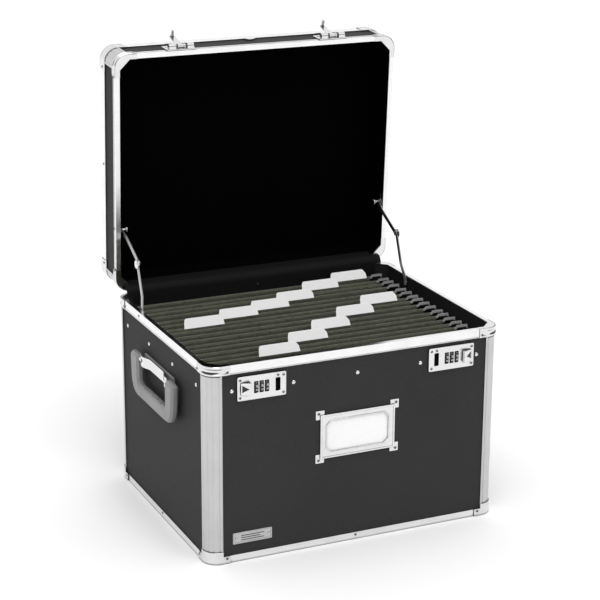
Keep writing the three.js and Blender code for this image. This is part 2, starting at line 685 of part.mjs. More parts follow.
const FILES = { count: 16, frontY: -152, pitch: 19.4, halfWidth: 187, top: 268.5, fold: 33, band: 25 };
const HOOK_BAR = { halfLength: 207, halfThickness: 1.2, z0: RAIL.lip + GAP, z1: 271 };

// The row of folders: card in a zigzag, hung from a metal bar along each upper fold.
function hangingFiles() {
  const upper = [];
  const lower = [];
  for (let i = 0; i <= FILES.count; i += 1) {
    const y = FILES.frontY + i * FILES.pitch;
    upper.push([y, FILES.top]);
    lower.push([y, FILES.top - FILES.band]);
    if (i < FILES.count) {
      upper.push([y + FILES.pitch / 2, FILES.fold + FILES.band]);
      lower.push([y + FILES.pitch / 2, FILES.fold]);
    }
  }
  const card = extrudeX(polygon([...lower, ...upper.reverse()]), -FILES.halfWidth, FILES.halfWidth);
  const bars = [];
  for (let i = 0; i <= FILES.count; i += 1) {
    const y = FILES.frontY + i * FILES.pitch;
    bars.push(block(
      -HOOK_BAR.halfLength,
      HOOK_BAR.halfLength,
      y - HOOK_BAR.halfThickness,
      y + HOOK_BAR.halfThickness,
      HOOK_BAR.z0,
      HOOK_BAR.z1,
    ));
  }
  return union(card, ...bars);
}

add('hanging_files', hangingFiles(), OLIVE_CARD);

export default group;
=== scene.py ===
"""Looks of the locking hanging-file chest: every shown piece, its material, the lights and the camera."""

import math
import random

import bmesh
import bpy
from mathutils import Matrix, Vector


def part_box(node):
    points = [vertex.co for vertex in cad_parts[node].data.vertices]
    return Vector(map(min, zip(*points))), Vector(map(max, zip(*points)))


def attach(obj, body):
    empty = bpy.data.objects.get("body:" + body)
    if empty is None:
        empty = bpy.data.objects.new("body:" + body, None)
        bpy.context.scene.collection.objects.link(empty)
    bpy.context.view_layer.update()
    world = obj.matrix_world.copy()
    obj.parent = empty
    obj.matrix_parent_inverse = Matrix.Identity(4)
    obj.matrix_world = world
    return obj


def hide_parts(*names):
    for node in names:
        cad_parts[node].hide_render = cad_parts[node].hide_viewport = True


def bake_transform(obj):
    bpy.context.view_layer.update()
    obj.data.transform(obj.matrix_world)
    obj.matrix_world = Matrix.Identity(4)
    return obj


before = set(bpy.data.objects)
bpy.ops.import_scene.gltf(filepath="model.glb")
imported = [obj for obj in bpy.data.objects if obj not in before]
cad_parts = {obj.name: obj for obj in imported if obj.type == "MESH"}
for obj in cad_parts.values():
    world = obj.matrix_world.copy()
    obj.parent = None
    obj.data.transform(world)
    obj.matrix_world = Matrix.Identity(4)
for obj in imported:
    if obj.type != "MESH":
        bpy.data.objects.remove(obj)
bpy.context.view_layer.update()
random.seed(11)

# ---------------------------------------------------------------- shared sizes, in millimetres
MM = 0.001


def box_mm(node):
    """Low and high corners of a CAD node, in millimetres."""
    low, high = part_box(node)
    return low / MM, high / MM


RIM_HIGH = box_mm("case_rim_frame")[1]
HALF_W = RIM_HIGH.x
HALF_D = RIM_HIGH.y
CASE_TOP = RIM_HIGH.z
PIN_LOW, PIN_HIGH = box_mm("hinge_pin")
PIN = (PIN_LOW + PIN_HIGH) / 2
OPEN_DEGREES = 87
CORNER_RADIUS = 20
LID_GAP = 0.2
LID_HEIGHT = 65
LID_BASE = PIN.z + LID_GAP
LID_TOP = PIN.z + LID_HEIGHT
# How far the wall panels' outer face and the lining lie inside the rim.
WALL_OUT = 1.5
LINING = 7.35

# Lid pieces are drawn with the lid shut, and this turns them about the hinge pin to where it rests.
OPEN_LID = (
    Matrix.Translation(PIN)
    @ Matrix.Rotation(-math.radians(OPEN_DEGREES), 4, "X")
    @ Matrix.Translation(-PIN)
)


# ---------------------------------------------------------------- material helpers
class Look:
    """A procedural material under construction, with the record's slot it belongs to.

    A noise scale is about the number of spots in a metre.
    """

    def __init__(self, name, slot, roughness, metallic=0.0, specular=0.5):
        self.material = bpy.data.materials.new(name)
        self.material.use_nodes = True
        self.slot = slot
        self.nodes = self.material.node_tree.nodes
        self.links = self.material.node_tree.links
        self.surface = self.nodes["Principled BSDF"]
        self.surface.inputs["Roughness"].default_value = roughness
        self.surface.inputs["Metallic"].default_value = metallic
        self.surface.inputs["Specular IOR Level"].default_value = specular
        self.place = self.nodes.new("ShaderNodeTexCoord").outputs["Object"]

    def noise(self, scale, detail=3.0, stretch=(1, 1, 1)):
        mapping = self.nodes.new("ShaderNodeMapping")
        mapping.inputs["Scale"].default_value = stretch
        self.links.new(self.place, mapping.inputs["Vector"])
        noise = self.nodes.new("ShaderNodeTexNoise")
        noise.inputs["Scale"].default_value = scale
        noise.inputs["Detail"].default_value = detail
        self.links.new(mapping.outputs["Vector"], noise.inputs["Vector"])
        return noise.outputs["Fac"]

    def ramp(self, value, low, high, start=0.3, end=0.7):
        ramp = self.nodes.new("ShaderNodeValToRGB")
        ramp.color_ramp.elements[0].position = start
        ramp.color_ramp.elements[1].position = end
        ramp.color_ramp.elements[0].color = (*low, 1)
        ramp.color_ramp.elements[1].color = (*high, 1)
        self.links.new(value, ramp.inputs["Fac"])
        return ramp.outputs["Color"]

    def multiply(self, first, second):
        mix = self.nodes.new("ShaderNodeMix")
        mix.data_type = "RGBA"
        mix.blend_type = "MULTIPLY"
        mix.inputs["Factor"].default_value = 1
        self.links.new(first, mix.inputs["A"])
        self.links.new(second, mix.inputs["B"])
        return mix.outputs["Result"]

    def crevices(self, reach_mm):
        """Near 0 in narrow gaps and inside corners, 1 on open faces."""
        hollow = self.nodes.new("ShaderNodeAmbientOcclusion")
        hollow.inputs["Distance"].default_value = reach_mm * MM
        hollow.samples = 8
        return hollow.outputs["AO"]

    def colour(self, value):
        self.links.new(value, self.surface.inputs["Base Color"])

    def vary_roughness(self, value, low, high):
        spread = self.nodes.new("ShaderNodeMapRange")
        spread.inputs["To Min"].default_value = low
        spread.inputs["To Max"].default_value = high
        self.links.new(value, spread.inputs["Value"])
        self.links.new(spread.outputs["Result"], self.surface.inputs["Roughness"])

    def bump(self, value, strength, depth_mm):
        bump = self.nodes.new("ShaderNodeBump")
        bump.inputs["Strength"].default_value = strength
        bump.inputs["Distance"].default_value = depth_mm * MM
        self.links.new(value, bump.inputs["Height"])
        self.links.new(bump.outputs["Normal"], self.surface.inputs["Normal"])


def grey(level):
    return (level, level, level)


def laminate_look():
    look = Look("laminate_mat", "laminate", roughness=0.6, specular=0.08)
    cloud = look.ramp(look.noise(9, 2), grey(0.9), grey(1.0))
    speckle = look.ramp(look.noise(900, 4), grey(0.03), grey(0.044))
    look.colour(look.multiply(cloud, speckle))
    look.vary_roughness(look.noise(300), 0.5, 0.72)
    look.bump(look.noise(1100, 4), 0.35, 0.12)
    return look


def lining_look(name, low, high):
    look = Look(name, "black_plastic", roughness=0.9, specular=0.02)
    nap = look.ramp(look.noise(1400, 4), grey(low), grey(high))
    # Broad lighter and darker streaks at random, longer up and down than across.
    streaks = look.ramp(look.noise(6, 3, (1, 1, 0.35)), grey(0.7), grey(1.0))
    look.colour(look.multiply(streaks, nap))
    look.bump(look.noise(1600, 3), 0.4, 0.1)
    return look


def cover_look():
    look = Look("hinge_cover_mat", "black_plastic", roughness=0.75, specular=0.15)
    look.colour(look.ramp(look.noise(1200, 3), grey(0.003), grey(0.0065)))
    look.bump(look.noise(700, 3), 0.3, 0.1)
    return look


def metal_look(name, slot, level, smooth, rough, grain=(1, 1, 1)):
    """Metal with fine grain lines, faint smudges and painted shade in its crevices. grain stretches the
    lines along one axis.
    """
    grain_scale = 260
    look = Look(name, slot, roughness=smooth, metallic=1.0)
    lines = look.noise(grain_scale, 4, grain)
    tone = look.ramp(lines, grey(level * 0.93), grey(level))
    smudge = look.ramp(look.noise(35, 3), grey(0.94), grey(1.0))
    # Painted shade: the colour falls nearly to black in narrow gaps and inside corners.
    crevice_shade = look.ramp(look.crevices(5), grey(0.04), grey(1.0), 0.42, 0.88)
    look.colour(look.multiply(look.multiply(tone, smudge), crevice_shade))
    look.vary_roughness(lines, smooth, rough)
    look.bump(look.noise(grain_scale * 2, 2, grain), 0.08, 0.05)
    return look


def moulded_look(name, slot, low, high):
    look = Look(name, slot, roughness=0.45, specular=0.5)
    tone = look.ramp(look.noise(14, 2), grey(low), grey(high))
    speckle = look.ramp(look.noise(1500, 2), grey(0.94), grey(1.0))
    look.colour(look.multiply(tone, speckle))
    look.vary_roughness(look.noise(60), 0.34, 0.5)
    look.bump(look.noise(1200, 3), 0.18, 0.08)
    return look


def card_look(name, slot, low, high, shade=0.88):
    """Card with long fibres lying mostly across the sheet."""
    look = Look(name, slot, roughness=0.85, specular=0.2)
    fibres = look.ramp(look.noise(500, 5, (0.25, 1, 1)), low, high)
    cloud = look.ramp(look.noise(18, 3), grey(shade), grey(1.0))
    look.colour(look.multiply(cloud, fibres))
    look.bump(look.noise(900, 4, (0.3, 1, 1)), 0.25, 0.08)
    return look


LAMINATE = laminate_look()
LID_FELT = lining_look("lid_lining_mat", 0.0004, 0.0014)
CASE_FELT = lining_look("case_lining_mat", 0.02, 0.03)
HINGE_COVER = cover_look()
BRIGHT = metal_look("bright_trim_mat", "bright_trim", 0.9, 0.16, 0.3, (0.15, 0.15, 1))
SATIN = metal_look("satin_trim_mat", "satin_trim", 0.6, 0.26, 0.42, (1, 1, 0.08))
CHROME = metal_look("chrome_mat", "chrome", 0.78, 0.08, 0.2)
STEEL = metal_look("steel_mat", "steel", 0.5, 0.25, 0.42)
HOOK_PAINT = moulded_look("hook_paint_mat", "steel", 0.34, 0.45)
GREY_MOULDING = moulded_look("grey_plastic_mat", "grey_plastic", 0.2, 0.26)
BLACK_MOULDING = moulded_look("black_plastic_mat", "black_plastic", 0.008, 0.014)
WHITE_CARD = card_look("card_white_mat", "card_white", grey(0.95), grey(0.98), 0.985)
# The olive card in two copies: a lighter one for the hems, painted light on their tops, and a darker one
# for the sheets below them, painted shade.
OLIVE_PAINTED_LIT = card_look("card_olive_painted_lit_mat", "card_olive", (0.085, 0.09, 0.065), (0.14, 0.147, 0.11))
OLIVE_PAINTED_SHADE = card_look("card_olive_painted_shade_mat", "card_olive", (0.03, 0.032, 0.023), (0.05, 0.053, 0.039))


# ---------------------------------------------------------------- geometry helpers
AXES = {
    "x": lambda u, v, a: Vector((a, u, v)),
    "y": lambda u, v, a: Vector((u, a, v)),
    "z": lambda u, v, a: Vector((u, v, a)),
}


def ring_faces(n, start, end):
    """Faces that join two rings of n points, numbered from start and from end."""
    return [[start + i, start + (i + 1) % n, end + (i + 1) % n, end + i] for i in range(n)]


def grid_faces(rows, columns):
    """Faces of a sheet that is rows by columns of squares, its points numbered row by row."""
    row = columns + 1
    corners = [k * row + j for k in range(rows) for j in range(columns)]
    return [[a, a + 1, a + row + 1, a + row] for a in corners]


class Shape:
    """Surfaces gathered into one piece, in millimetres."""

    def __init__(self):
        self.points = []
        self.faces = []

    def add(self, points, faces):
        start = len(self.points)
        self.points += [Vector(p) for p in points]
        self.faces += [[start + i for i in face] for face in faces]
        return self

    def loft(self, rings):
        """Rings with the same number of points, joined one to the next and closed at both ends."""
        n = len(rings[0])
        last = n * (len(rings) - 1)
        faces = [list(range(n)), list(range(last, last + n))]
        for k in range(len(rings) - 1):
            faces += ring_faces(n, k * n, (k + 1) * n)
        return self.add([point for ring in rings for point in ring], faces)

    def prism(self, outline, axis, low, high):
        """An outline run along an axis. It holds (y, z) for x, (x, z) for y and (x, y) for z."""
        return self.loft([[AXES[axis](u, v, a) for u, v in outline] for a in (low, high)])

    def box(self, x, y, z):
        return self.prism([(x[0], y[0]), (x[1], y[0]), (x[1], y[1]), (x[0], y[1])], "z", *z)

    def rod(self, axis, centre, radius, low, high, sides=20):
        return self.prism(circle(centre, radius, sides), axis, low, high)

    def wall(self, outer, inner, low, high):
        """An upright wall between two closed outlines with the same number of points."""
        n = len(outer)
        loops = [(outer, low), (outer, high), (inner, high), (inner, low)]
        points = [(u, v, level) for loop, level in loops for u, v in loop]
        faces = []
        for k in range(4):
            faces += ring_faces(n, k * n, (k + 1) % 4 * n)
        return self.add(points, faces)

    def turned(self, profile, centre, direction, sides=16):
        """A profile of (radius, height) turned about direction, closed at its axis at both ends."""
        turn = Vector(direction).to_track_quat("Z", "Y").to_matrix()
        rings = []
        for radius, height in profile:
            ring = [Vector((radius * math.cos(t), radius * math.sin(t), height)) for t in turns(sides)]
            rings.append([Vector(centre) + turn @ p for p in ring])
        return self.loft(rings)

    def strip(self, path, across, thick, wide):
        """A flat bar along a path. across is the direction of its width, one vector per point."""
        rings = []
        for i, point in enumerate(path):
            before = path[max(i - 1, 0)]
            after = path[min(i + 1, len(path) - 1)]
            along = (Vector(after) - Vector(before)).normalized()
            side = Vector(across[i]).normalized()
            up = along.cross(side).normalized()
            corners = ((-1, -1), (1, -1), (1, 1), (-1, 1))
            rings.append([Vector(point) + side * (a * wide / 2) + up * (b * thick / 2) for a, b in corners])
        return self.loft(rings)

    def plate(self, outlines, axis, low, high, edge=0.0, edge_steps=3):
        """A plate with holes, the outside first. Its edges are rounded, or cut flat with no edge_steps."""
        curve = bpy.data.curves.new("outline", "CURVE")
        curve.dimensions = "2D"
        curve.fill_mode = "BOTH"
        for outline in outlines:
            spline = curve.splines.new("POLY")
            spline.points.add(len(outline) - 1)
            for point, (u, v) in zip(spline.points, outline):
                point.co = (u, v, 0, 1)
            spline.use_cyclic_u = True
        half = (high - low) / 2
        curve.extrude = half - edge
        curve.bevel_depth = edge
        curve.bevel_resolution = edge_steps
        curve.offset = -edge
        holder = bpy.data.objects.new("outline", curve)
        mesh = bpy.data.meshes.new_from_object(holder)
        middle = (low + high) / 2
        points = [AXES[axis](v.co.x, v.co.y, middle + v.co.z) for v in mesh.vertices]
        self.add(points, [list(p.vertices) for p in mesh.polygons])
        bpy.data.objects.remove(holder)
        bpy.data.curves.remove(curve)
        bpy.data.meshes.remove(mesh)
        return self

    def mirrored(self):
        """The same piece on the other side of the chest."""
        twin = Shape()
        twin.points = [Vector((-p.x, p.y, p.z)) for p in self.points]
        twin.faces = [list(reversed(face)) for face in self.faces]
        return twin


def on_side(side, *shapes):
    """Shapes drawn for the right side, mirrored if they go on the left."""
    return [shape.mirrored() if SIDES[side] < 0 else shape for shape in shapes]


def turns(sides):
    return [2 * math.pi * i / sides for i in range(sides)]


def circle(centre, radius, sides=20):
    return [(centre[0] + radius * math.cos(t), centre[1] + radius * math.sin(t)) for t in turns(sides)]


def rectangle(u0, u1, v0, v1, corner=0.0, steps=3):
    """Outline of a rectangle with rounded corners."""
    if corner == 0:
        return [(u0, v0), (u1, v0), (u1, v1), (u0, v1)]
    centres = [(u1 - corner, v0 + corner), (u1 - corner, v1 - corner)]
    centres += [(u0 + corner, v1 - corner), (u0 + corner, v0 + corner)]
    points = []
    for k, (cu, cv) in enumerate(centres):
        for i in range(steps + 1):
            t = (k - 1 + i / steps) * math.pi / 2
            points.append((cu + corner * math.cos(t), cv + corner * math.sin(t)))
    return points


def add_object(name, data):
    thing = bpy.data.objects.new(name, data)
    bpy.context.scene.collection.objects.link(thing)
    return thing


def show(name, shape, look, body, lid=False, edge=0.0, replaces=(), joins=True):
    """Puts a shape into the scene as a named piece riding on a body."""
    mesh = bpy.data.meshes.new(name)
    mesh.from_pydata([p * MM for p in shape.points], [], shape.faces)
    if lid:
        mesh.transform(Matrix.Scale(MM, 4) @ OPEN_LID @ Matrix.Scale(1 / MM, 4))
    return settle(name, mesh, look, body, edge, replaces, joins)


def settle(name, mesh, look, body, edge, replaces, joins=True):
    work = bmesh.new()
    work.from_mesh(mesh)
    if joins:
        bmesh.ops.remove_doubles(work, verts=work.verts, dist=0.005 * MM)
    bmesh.ops.recalc_face_normals(work, faces=work.faces)
    work.to_mesh(mesh)
    work.free()
    mesh.materials.clear()
    mesh.materials.append(look.material)
    mesh.polygons.foreach_set("use_smooth", [True] * len(mesh.polygons))
    mesh.set_sharp_from_angle(angle=math.radians(32))
    piece = add_object(name, mesh)
    if edge:
        round_edges = piece.modifiers.new("round_edges", "BEVEL")
        round_edges.width = edge * MM
        round_edges.segments = 2
        round_edges.limit_method = "ANGLE"
        round_edges.angle_limit = math.radians(40)
        round_edges.harden_normals = True
    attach(piece, body)
    if replaces:
        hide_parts(*replaces)
    return piece


def refine(node, look, body, edge):
    """The CAD node's own shape again, with its sharp edges rounded."""
    mesh = bpy.data.objects[node].data.copy()
    work = bmesh.new()
    work.from_mesh(mesh)
    bmesh.ops.remove_doubles(work, verts=work.verts, dist=0.01 * MM)
    bmesh.ops.dissolve_limit(work, angle_limit=math.radians(1), verts=work.verts, edges=work.edges)
    work.to_mesh(mesh)
    work.free()
    return settle(f"{node}_finished", mesh, look, body, edge, (node,))


def dress(node, look):
    """Keeps the CAD node as it is, in a better material."""
    mesh = bpy.data.objects[node].data
    mesh.materials.clear()
    mesh.materials.append(look.material)


SIDES = {"right": 1, "left": -1}
# Which way each corner lies in x and y, and its quarter turns from the front left.
CORNERS = {
    "front_left": (-1, -1, 0),
    "front_right": (1, -1, 1),
    "rear_right": (1, 1, 2),
    "rear_left": (-1, 1, 3),
}


def at_corner(name, points):
    """Plan points drawn with the corner at the origin and both walls along the positive axes."""
    x, y, quarter_turns = CORNERS[name]
    turn = Matrix.Rotation(quarter_turns * math.pi / 2, 2)
    placed = [turn @ Vector(p) for p in points]
    return [(p.x + x * HALF_W, p.y + y * HALF_D) for p in placed]


# ---------------------------------------------------------------- small fixings
def dome_rivet(shape, centre, outward, radius):
    profile = [(radius, -0.3), (radius, 0.25), (radius * 0.9, 0.8)]
    profile += [(radius * 0.62, 1.3), (radius * 0.2, 1.5)]
    return shape.turned(profile, centre, outward)


def screw_head(shape, centre, outward, radius):
    profile = [(radius, -0.4), (radius, 0.35), (radius * 0.75, 0.75), (radius * 0.3, 0.8)]
    return shape.turned(profile, centre, outward)


def screw_cross_shade(shape, centre, outward, radius):
    """Dark cross on a screw head, two thin bars standing for the slots cut into it: painted shade in the
    slots.
    """
    height, thick, length, width = 0.72, 0.3, 0.72, 0.48
    out = Vector(outward)
    side = Vector((1, 0, 0)) if abs(out.x) < 0.5 else Vector((0, 1, 0))
    other = out.cross(side)
    level = Vector(centre) + out * height
    for along, across in ((side, other), (other, side)):
        ends = [level - along * radius * length, level + along * radius * length]
        shape.strip(ends, [across, across], thick, radius * width)


def screws(name, body, placed, radius, lid=False):
    """Screws at (centre, outward) places: their heads in one piece and their dark crosses, painted shade in
    the slots, in another.
    """
    heads = Shape()
    cross_shades = Shape()
    for centre, outward in placed:
        screw_head(heads, centre, outward, radius)
        screw_cross_shade(cross_shades, centre, outward, radius)
    show(f"{name}_heads", heads, STEEL, body, lid, joins=False)
    show(f"{name}_recesses", cross_shades, BLACK_MOULDING, body, lid, joins=False)


def rivets(name, body, placed, lid=False, radius=3.0):
    shape = Shape()
    for centre, outward in placed:
        dome_rivet(shape, centre, outward, radius)
    show(name, shape, CHROME, body, lid, joins=False)


FRONT, BACK, LEFT = (0, -1, 0), (0, 1, 0), (-1, 0, 0)


# ---------------------------------------------------------------- walls and lining
def wall_panels():
    walls = ("front", "rear", "left", "right")
    names = ["case_floor_panel", "lid_top_panel"]
    names += [f"{part}_{wall}_panel" for part in ("case", "lid") for wall in walls]
    for name in names:
        dress(name, LAMINATE)


def wall_rivets():
    """Dome rivets that hold the lining, along the upper edge of each case wall."""
    front_x = (-186, -96, 0, 97, 186)
    side_y = (-136, -47, 46, 136)
    z = 248.5
    skin = HALF_D - WALL_OUT
    side = HALF_W - WALL_OUT
    rivets("case_front_rivets", "case", [((x, -skin, z), FRONT) for x in front_x])
    rivets("case_rear_rivets", "case", [((x, skin, z), BACK) for x in front_x])
    for name, s in SIDES.items():
        rivets(f"case_{name}_rivets", "case", [((s * side, y, z + 1), (s, 0, 0)) for y in side_y])


def lining_outline(inset):
    """Plan outline of the lining, cut across at the corners to pass the posts."""
    x, y, cut = HALF_W - inset, HALF_D - inset, 16
    return [
        (-x + cut, -y), (x - cut, -y), (x, -y + cut), (x, y - cut),
        (x - cut, y), (-x + cut, y), (-x, y - cut), (-x, -y + cut),
    ]


def linings():
    """Thin walls inside the case and the lid, each closed by a sheet at the floor or under the top."""
    thick, short_of_rim, floor_level = 0.15, 1.4, 6
    lid_ceiling = LID_TOP - 6
    outer, inner = lining_outline(LINING), lining_outline(LINING + thick)
    case = Shape().wall(outer, inner, floor_level, CASE_TOP - short_of_rim)
    case.prism(inner, "z", floor_level - 0.1, floor_level + 0.2)
    show("case_lining", case, CASE_FELT, "case")
    lid = Shape().wall(outer, inner, LID_BASE + short_of_rim, lid_ceiling)
    lid.prism(inner, "z", lid_ceiling - 0.4, lid_ceiling)
    show("lid_lining", lid, LID_FELT, "lid", lid=True)


COVER_HALF_LENGTH = 210


def hinge_cover():
    """Flexible strip over the hinge line, from the inside of the case round to the lid's rim."""
    radius, steps, across = 11.3, 24, 40
    points = []
    for i in range(steps + 1):
        t = math.radians(180 - OPEN_DEGREES * i / steps)
        for j in range(across + 1):
            x = COVER_HALF_LENGTH * (2 * j / across - 1)
            r = radius + 0.35 * math.sin(7.1 * j / across + 0.9) * math.sin(math.pi * i / steps)
            points.append((x, PIN.y + r * math.cos(t), PIN.z + r * math.sin(t)))
    mesh = bpy.data.meshes.new("hinge_cover_strip")
    mesh.from_pydata([Vector(p) * MM for p in points], [], grid_faces(steps, across))
    mesh.materials.append(HINGE_COVER.material)
    mesh.polygons.foreach_set("use_smooth", [True] * len(mesh.polygons))
    strip = add_object("hinge_cover_strip", mesh)
    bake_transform(strip)
    hinge_cover_edges()


def hinge_cover_edges():
    """The cover's two edges, flat against the linings of the case and the lid, and the stud in one."""
    across = (-COVER_HALF_LENGTH, COVER_HALF_LENGTH)
    thick = 1.2
    front = HALF_D - LINING - thick
    through = (front, HALF_D - LINING)
    case = Shape().box(across, through, (CASE_TOP - 30, CASE_TOP + 0.1))
    show("hinge_cover_case_edge", case, HINGE_COVER, "case", edge=0.4)
    lid = Shape().box(across, through, (LID_BASE - 0.1, LID_BASE + 18))
    show("hinge_cover_lid_edge", lid, HINGE_COVER, "lid", lid=True, edge=0.4)
    stud = dome_rivet(Shape(), (0, front, CASE_TOP - 9), FRONT, 1.8)
    show("hinge_cover_stud", stud, BLACK_MOULDING, "case")


# ---------------------------------------------------------------- posts, frames and corner castings
def post_outline():
    """Outer face of a post from one wall round to the other: a bead at each edge, grooves between."""
    width, skin, bead, bead_width = 22, 2.2, 0.8, 3.4
    groove_depth, groove_width, grooves_at = 0.5, 1.8, (0.03, 0.36, 0.64, 0.97)
    radius = CORNER_RADIUS
    straight = width - radius
    arc = radius * math.pi / 2
    total = arc + 2 * straight
    steps = 110
    outer, inner = [], []
    for i in range(steps + 1):
        s = total * i / steps
        if s < straight:
            base, normal = Vector((width - s, 0)), Vector((0, -1))
        elif s > straight + arc:
            base, normal = Vector((0, radius + s - straight - arc)), Vector((-1, 0))
        else:
            t = (s - straight) / radius
            normal = Vector((-math.sin(t), -math.cos(t)))
            base = Vector((radius, radius)) + radius * normal
        to_edge = min(s, total - s)
        if to_edge < bead_width:
            lift = bead * math.sin(math.pi * to_edge / bead_width)
        else:
            between = total - 2 * bead_width
            aside = min(abs(s - bead_width - place * between) for place in grooves_at)
            lift = -groove_depth * max(0.0, 1 - 2 * aside / groove_width)
        outer.append(base + normal * lift)
        inner.append(base - normal * skin)
    return [tuple(p) for p in outer + inner[::-1]]


def corner_posts():
    outline = post_outline()
    for corner in CORNERS:
        placed = at_corner(corner, outline)
        low, high = box_mm(f"case_post_{corner}")
        case = Shape().prism(placed, "z", low.z, high.z)
        show(f"case_post_{corner}_fluted", case, SATIN, "case", replaces=[f"case_post_{corner}"])
        lid = Shape().prism(placed, "z", LID_BASE + 8.3, LID_TOP - 19.3)
        show(f"lid_post_{corner}_fluted", lid, SATIN, "lid", lid=True, replaces=[f"lid_post_{corner}"])


def frames():
    for body, frames_on_it in (("case", ("rim", "base")), ("lid", ("rim", "top"))):
        for part in frames_on_it:
            refine(f"{body}_{part}_frame", BRIGHT, body, 0.45)
    for corner in CORNERS:
        refine(f"base_cap_{corner}", CHROME, "case", 0.5)


def trim_beads():
    """Raised bead along the lower edge of each rim skirt, between the corner castings."""
    reach, radius, sides = 32, 0.8, 10
    places = (("case", CASE_TOP - 12.2), ("lid", LID_BASE + 7.2), ("lid", LID_TOP - 18.2))
    for k, (body, z) in enumerate(places):
        beads = Shape()
        for s in (-1, 1):
            beads.rod("x", (s * HALF_D, z), radius, -HALF_W + reach, HALF_W - reach, sides)
            beads.rod("y", (s * HALF_W, z), radius, -HALF_D + reach, HALF_D - reach, sides)
        show(f"{body}_trim_beads_{k}", beads, BRIGHT, body, body == "lid")


CASTING_REACH = 33
CASTING_PROUD = 0.6


def casting_ring(proud):
    """Plan outline of a band wrapped round a corner, standing proud of the frame under it."""
    r, reach = CORNER_RADIUS, CASTING_REACH
    taper, under, most_at_end, steps = 6, 0.3, 0.8, 14
    at_end = min(proud, most_at_end)
    outer = [(reach, -at_end), (reach - taper, -proud)]
    inner = [(reach, under), (reach - taper, under)]
    for i in range(steps + 1):
        t = math.pi / 2 * i / steps
        outer.append((r - (r + proud) * math.sin(t), r - (r + proud) * math.cos(t)))
        inner.append((r - (r - under) * math.sin(t), r - (r - under) * math.cos(t)))
    outer += [(-proud, reach - taper), (-at_end, reach)]
    inner += [(under, reach - taper), (under, reach)]
    return outer, inner


def corner_casting(corner, low, high, web_low, web_high):
    """A bulged band round the corner, with a bead at each edge, and a web with a cut-off inner corner."""
    levels = [(0, 0.5), (0.06, 1.3), (0.2, 1.4), (0.28, 0.7), (0.42, 1.0), (0.6, 1.2), (0.72, 0.8)]
    levels += [(0.8, 1.6), (0.94, 1.6), (1, 0.6)]
    rings = []
    for part, proud in levels:
        outer, inner = casting_ring(proud)
        rings.append([(x, y, low + (high - low) * part) for x, y in at_corner(corner, outer + inner[::-1])])
    shape = Shape().loft(rings)
    outer, _ = casting_ring(CASTING_PROUD)
    web, cut = 7.4, 15
    inside = [(web, CASTING_REACH), (web, web + cut), (web + cut, web), (CASTING_REACH, web)]
    shape.prism(at_corner(corner, outer + inside), "z", web_low, web_high)
    return shape


def painted_casting_reflection(corner, z):
    """Painted dark reflection: a dark band round the bend of a casting, standing out at its middle and sunk
    in at its ends.
    """
    r, steps, under, half_height = CORNER_RADIUS, 16, 0.2, 1.1
    outer, inner = [], []
    for i in range(steps + 1):
        t = math.pi / 2 * i / steps
        reach = r + 0.5 + 1.2 * math.sin(2 * t)
        outer.append((r - reach * math.sin(t), r - reach * math.cos(t)))
        inner.append((r - (r - under) * math.sin(t), r - (r - under) * math.cos(t)))
    return Shape().prism(at_corner(corner, outer + inner[::-1]), "z", z - half_height, z + half_height)


def painted_gap_shadow(corner, z):
    """Painted shadow: a dark line under a casting, where it laps over the corner post."""
    proud, height = 0.35, 1.1
    outer, inner = casting_ring(proud)
    return Shape().prism(at_corner(corner, outer + inner[::-1]), "z", z - height, z)


# Low and high of each casting's band, then of the web that joins its two arms.
CASTING_LEVELS = {
    "case_rim": (CASE_TOP - 13.5, CASE_TOP + 0.1, CASE_TOP - 0.9, CASE_TOP + 0.1),
    "lid_rim": (LID_BASE - 0.1, LID_BASE + 10, LID_BASE - 0.1, LID_BASE + 0.9),
    "lid_top": (LID_TOP - 20.5, LID_TOP + 0.8, LID_TOP, LID_TOP + 0.8),
}


def castings():
    """Cast corners on the case rim, the lid rim and the lid's outer frame, with dark bands on them: painted
    shadow under the case rim and lid top castings, and a painted dark reflection round each case rim
    casting's bend.
    """
    for corner in CORNERS:
        for name, levels in CASTING_LEVELS.items():
            body = name.split("_")[0]
            lid = body == "lid"
            casting = corner_casting(corner, *levels)
            show(f"{name}_casting_{corner}", casting, CHROME, body, lid, joins=False)
            if name != "lid_rim":
                # Painted shadow in the gap under the casting.
                painted_shadow = painted_gap_shadow(corner, levels[0])
                show(f"{name}_seam_{corner}", painted_shadow, BLACK_MOULDING, body, lid, joins=False)
        # Painted dark reflection round the bend of the case rim casting.
        painted_reflection = painted_casting_reflection(corner, CASE_TOP - 8.6)
        show(f"case_rim_crescent_{corner}", painted_reflection, BLACK_MOULDING, "case", joins=False)
        corner_screws(corner)


def corner_screws(corner):
    """Screws on the castings and the base cap: one on each wall, but only a side one at the lid's top."""
    x, y, _ = CORNERS[corner]
    radius, proud, cap_proud = 2.2, CASTING_PROUD, 1.6
    places = (
        ("case_rim", "case", CASE_TOP - 9, proud, 29, 32),
        ("lid_rim", "lid", LID_BASE + 5, proud, 29, 32),
        ("base_cap", "case", 8, cap_proud, 27, 29),
    )
    for name, body, z, out, from_side, from_front in places:
        placed = [((x * (HALF_W - from_side), y * (HALF_D + out), z), (0, y, 0))]
        placed += [((x * (HALF_W + out), y * (HALF_D - from_front), z), (x, 0, 0))]
        screws(f"{name}_screws_{corner}", body, placed, radius, body == "lid")
    placed = [((x * (HALF_W + proud), y * (HALF_D - 28), LID_TOP - 11), (x, 0, 0))]
    screws(f"lid_top_screws_{corner}", "lid", placed, radius, True)


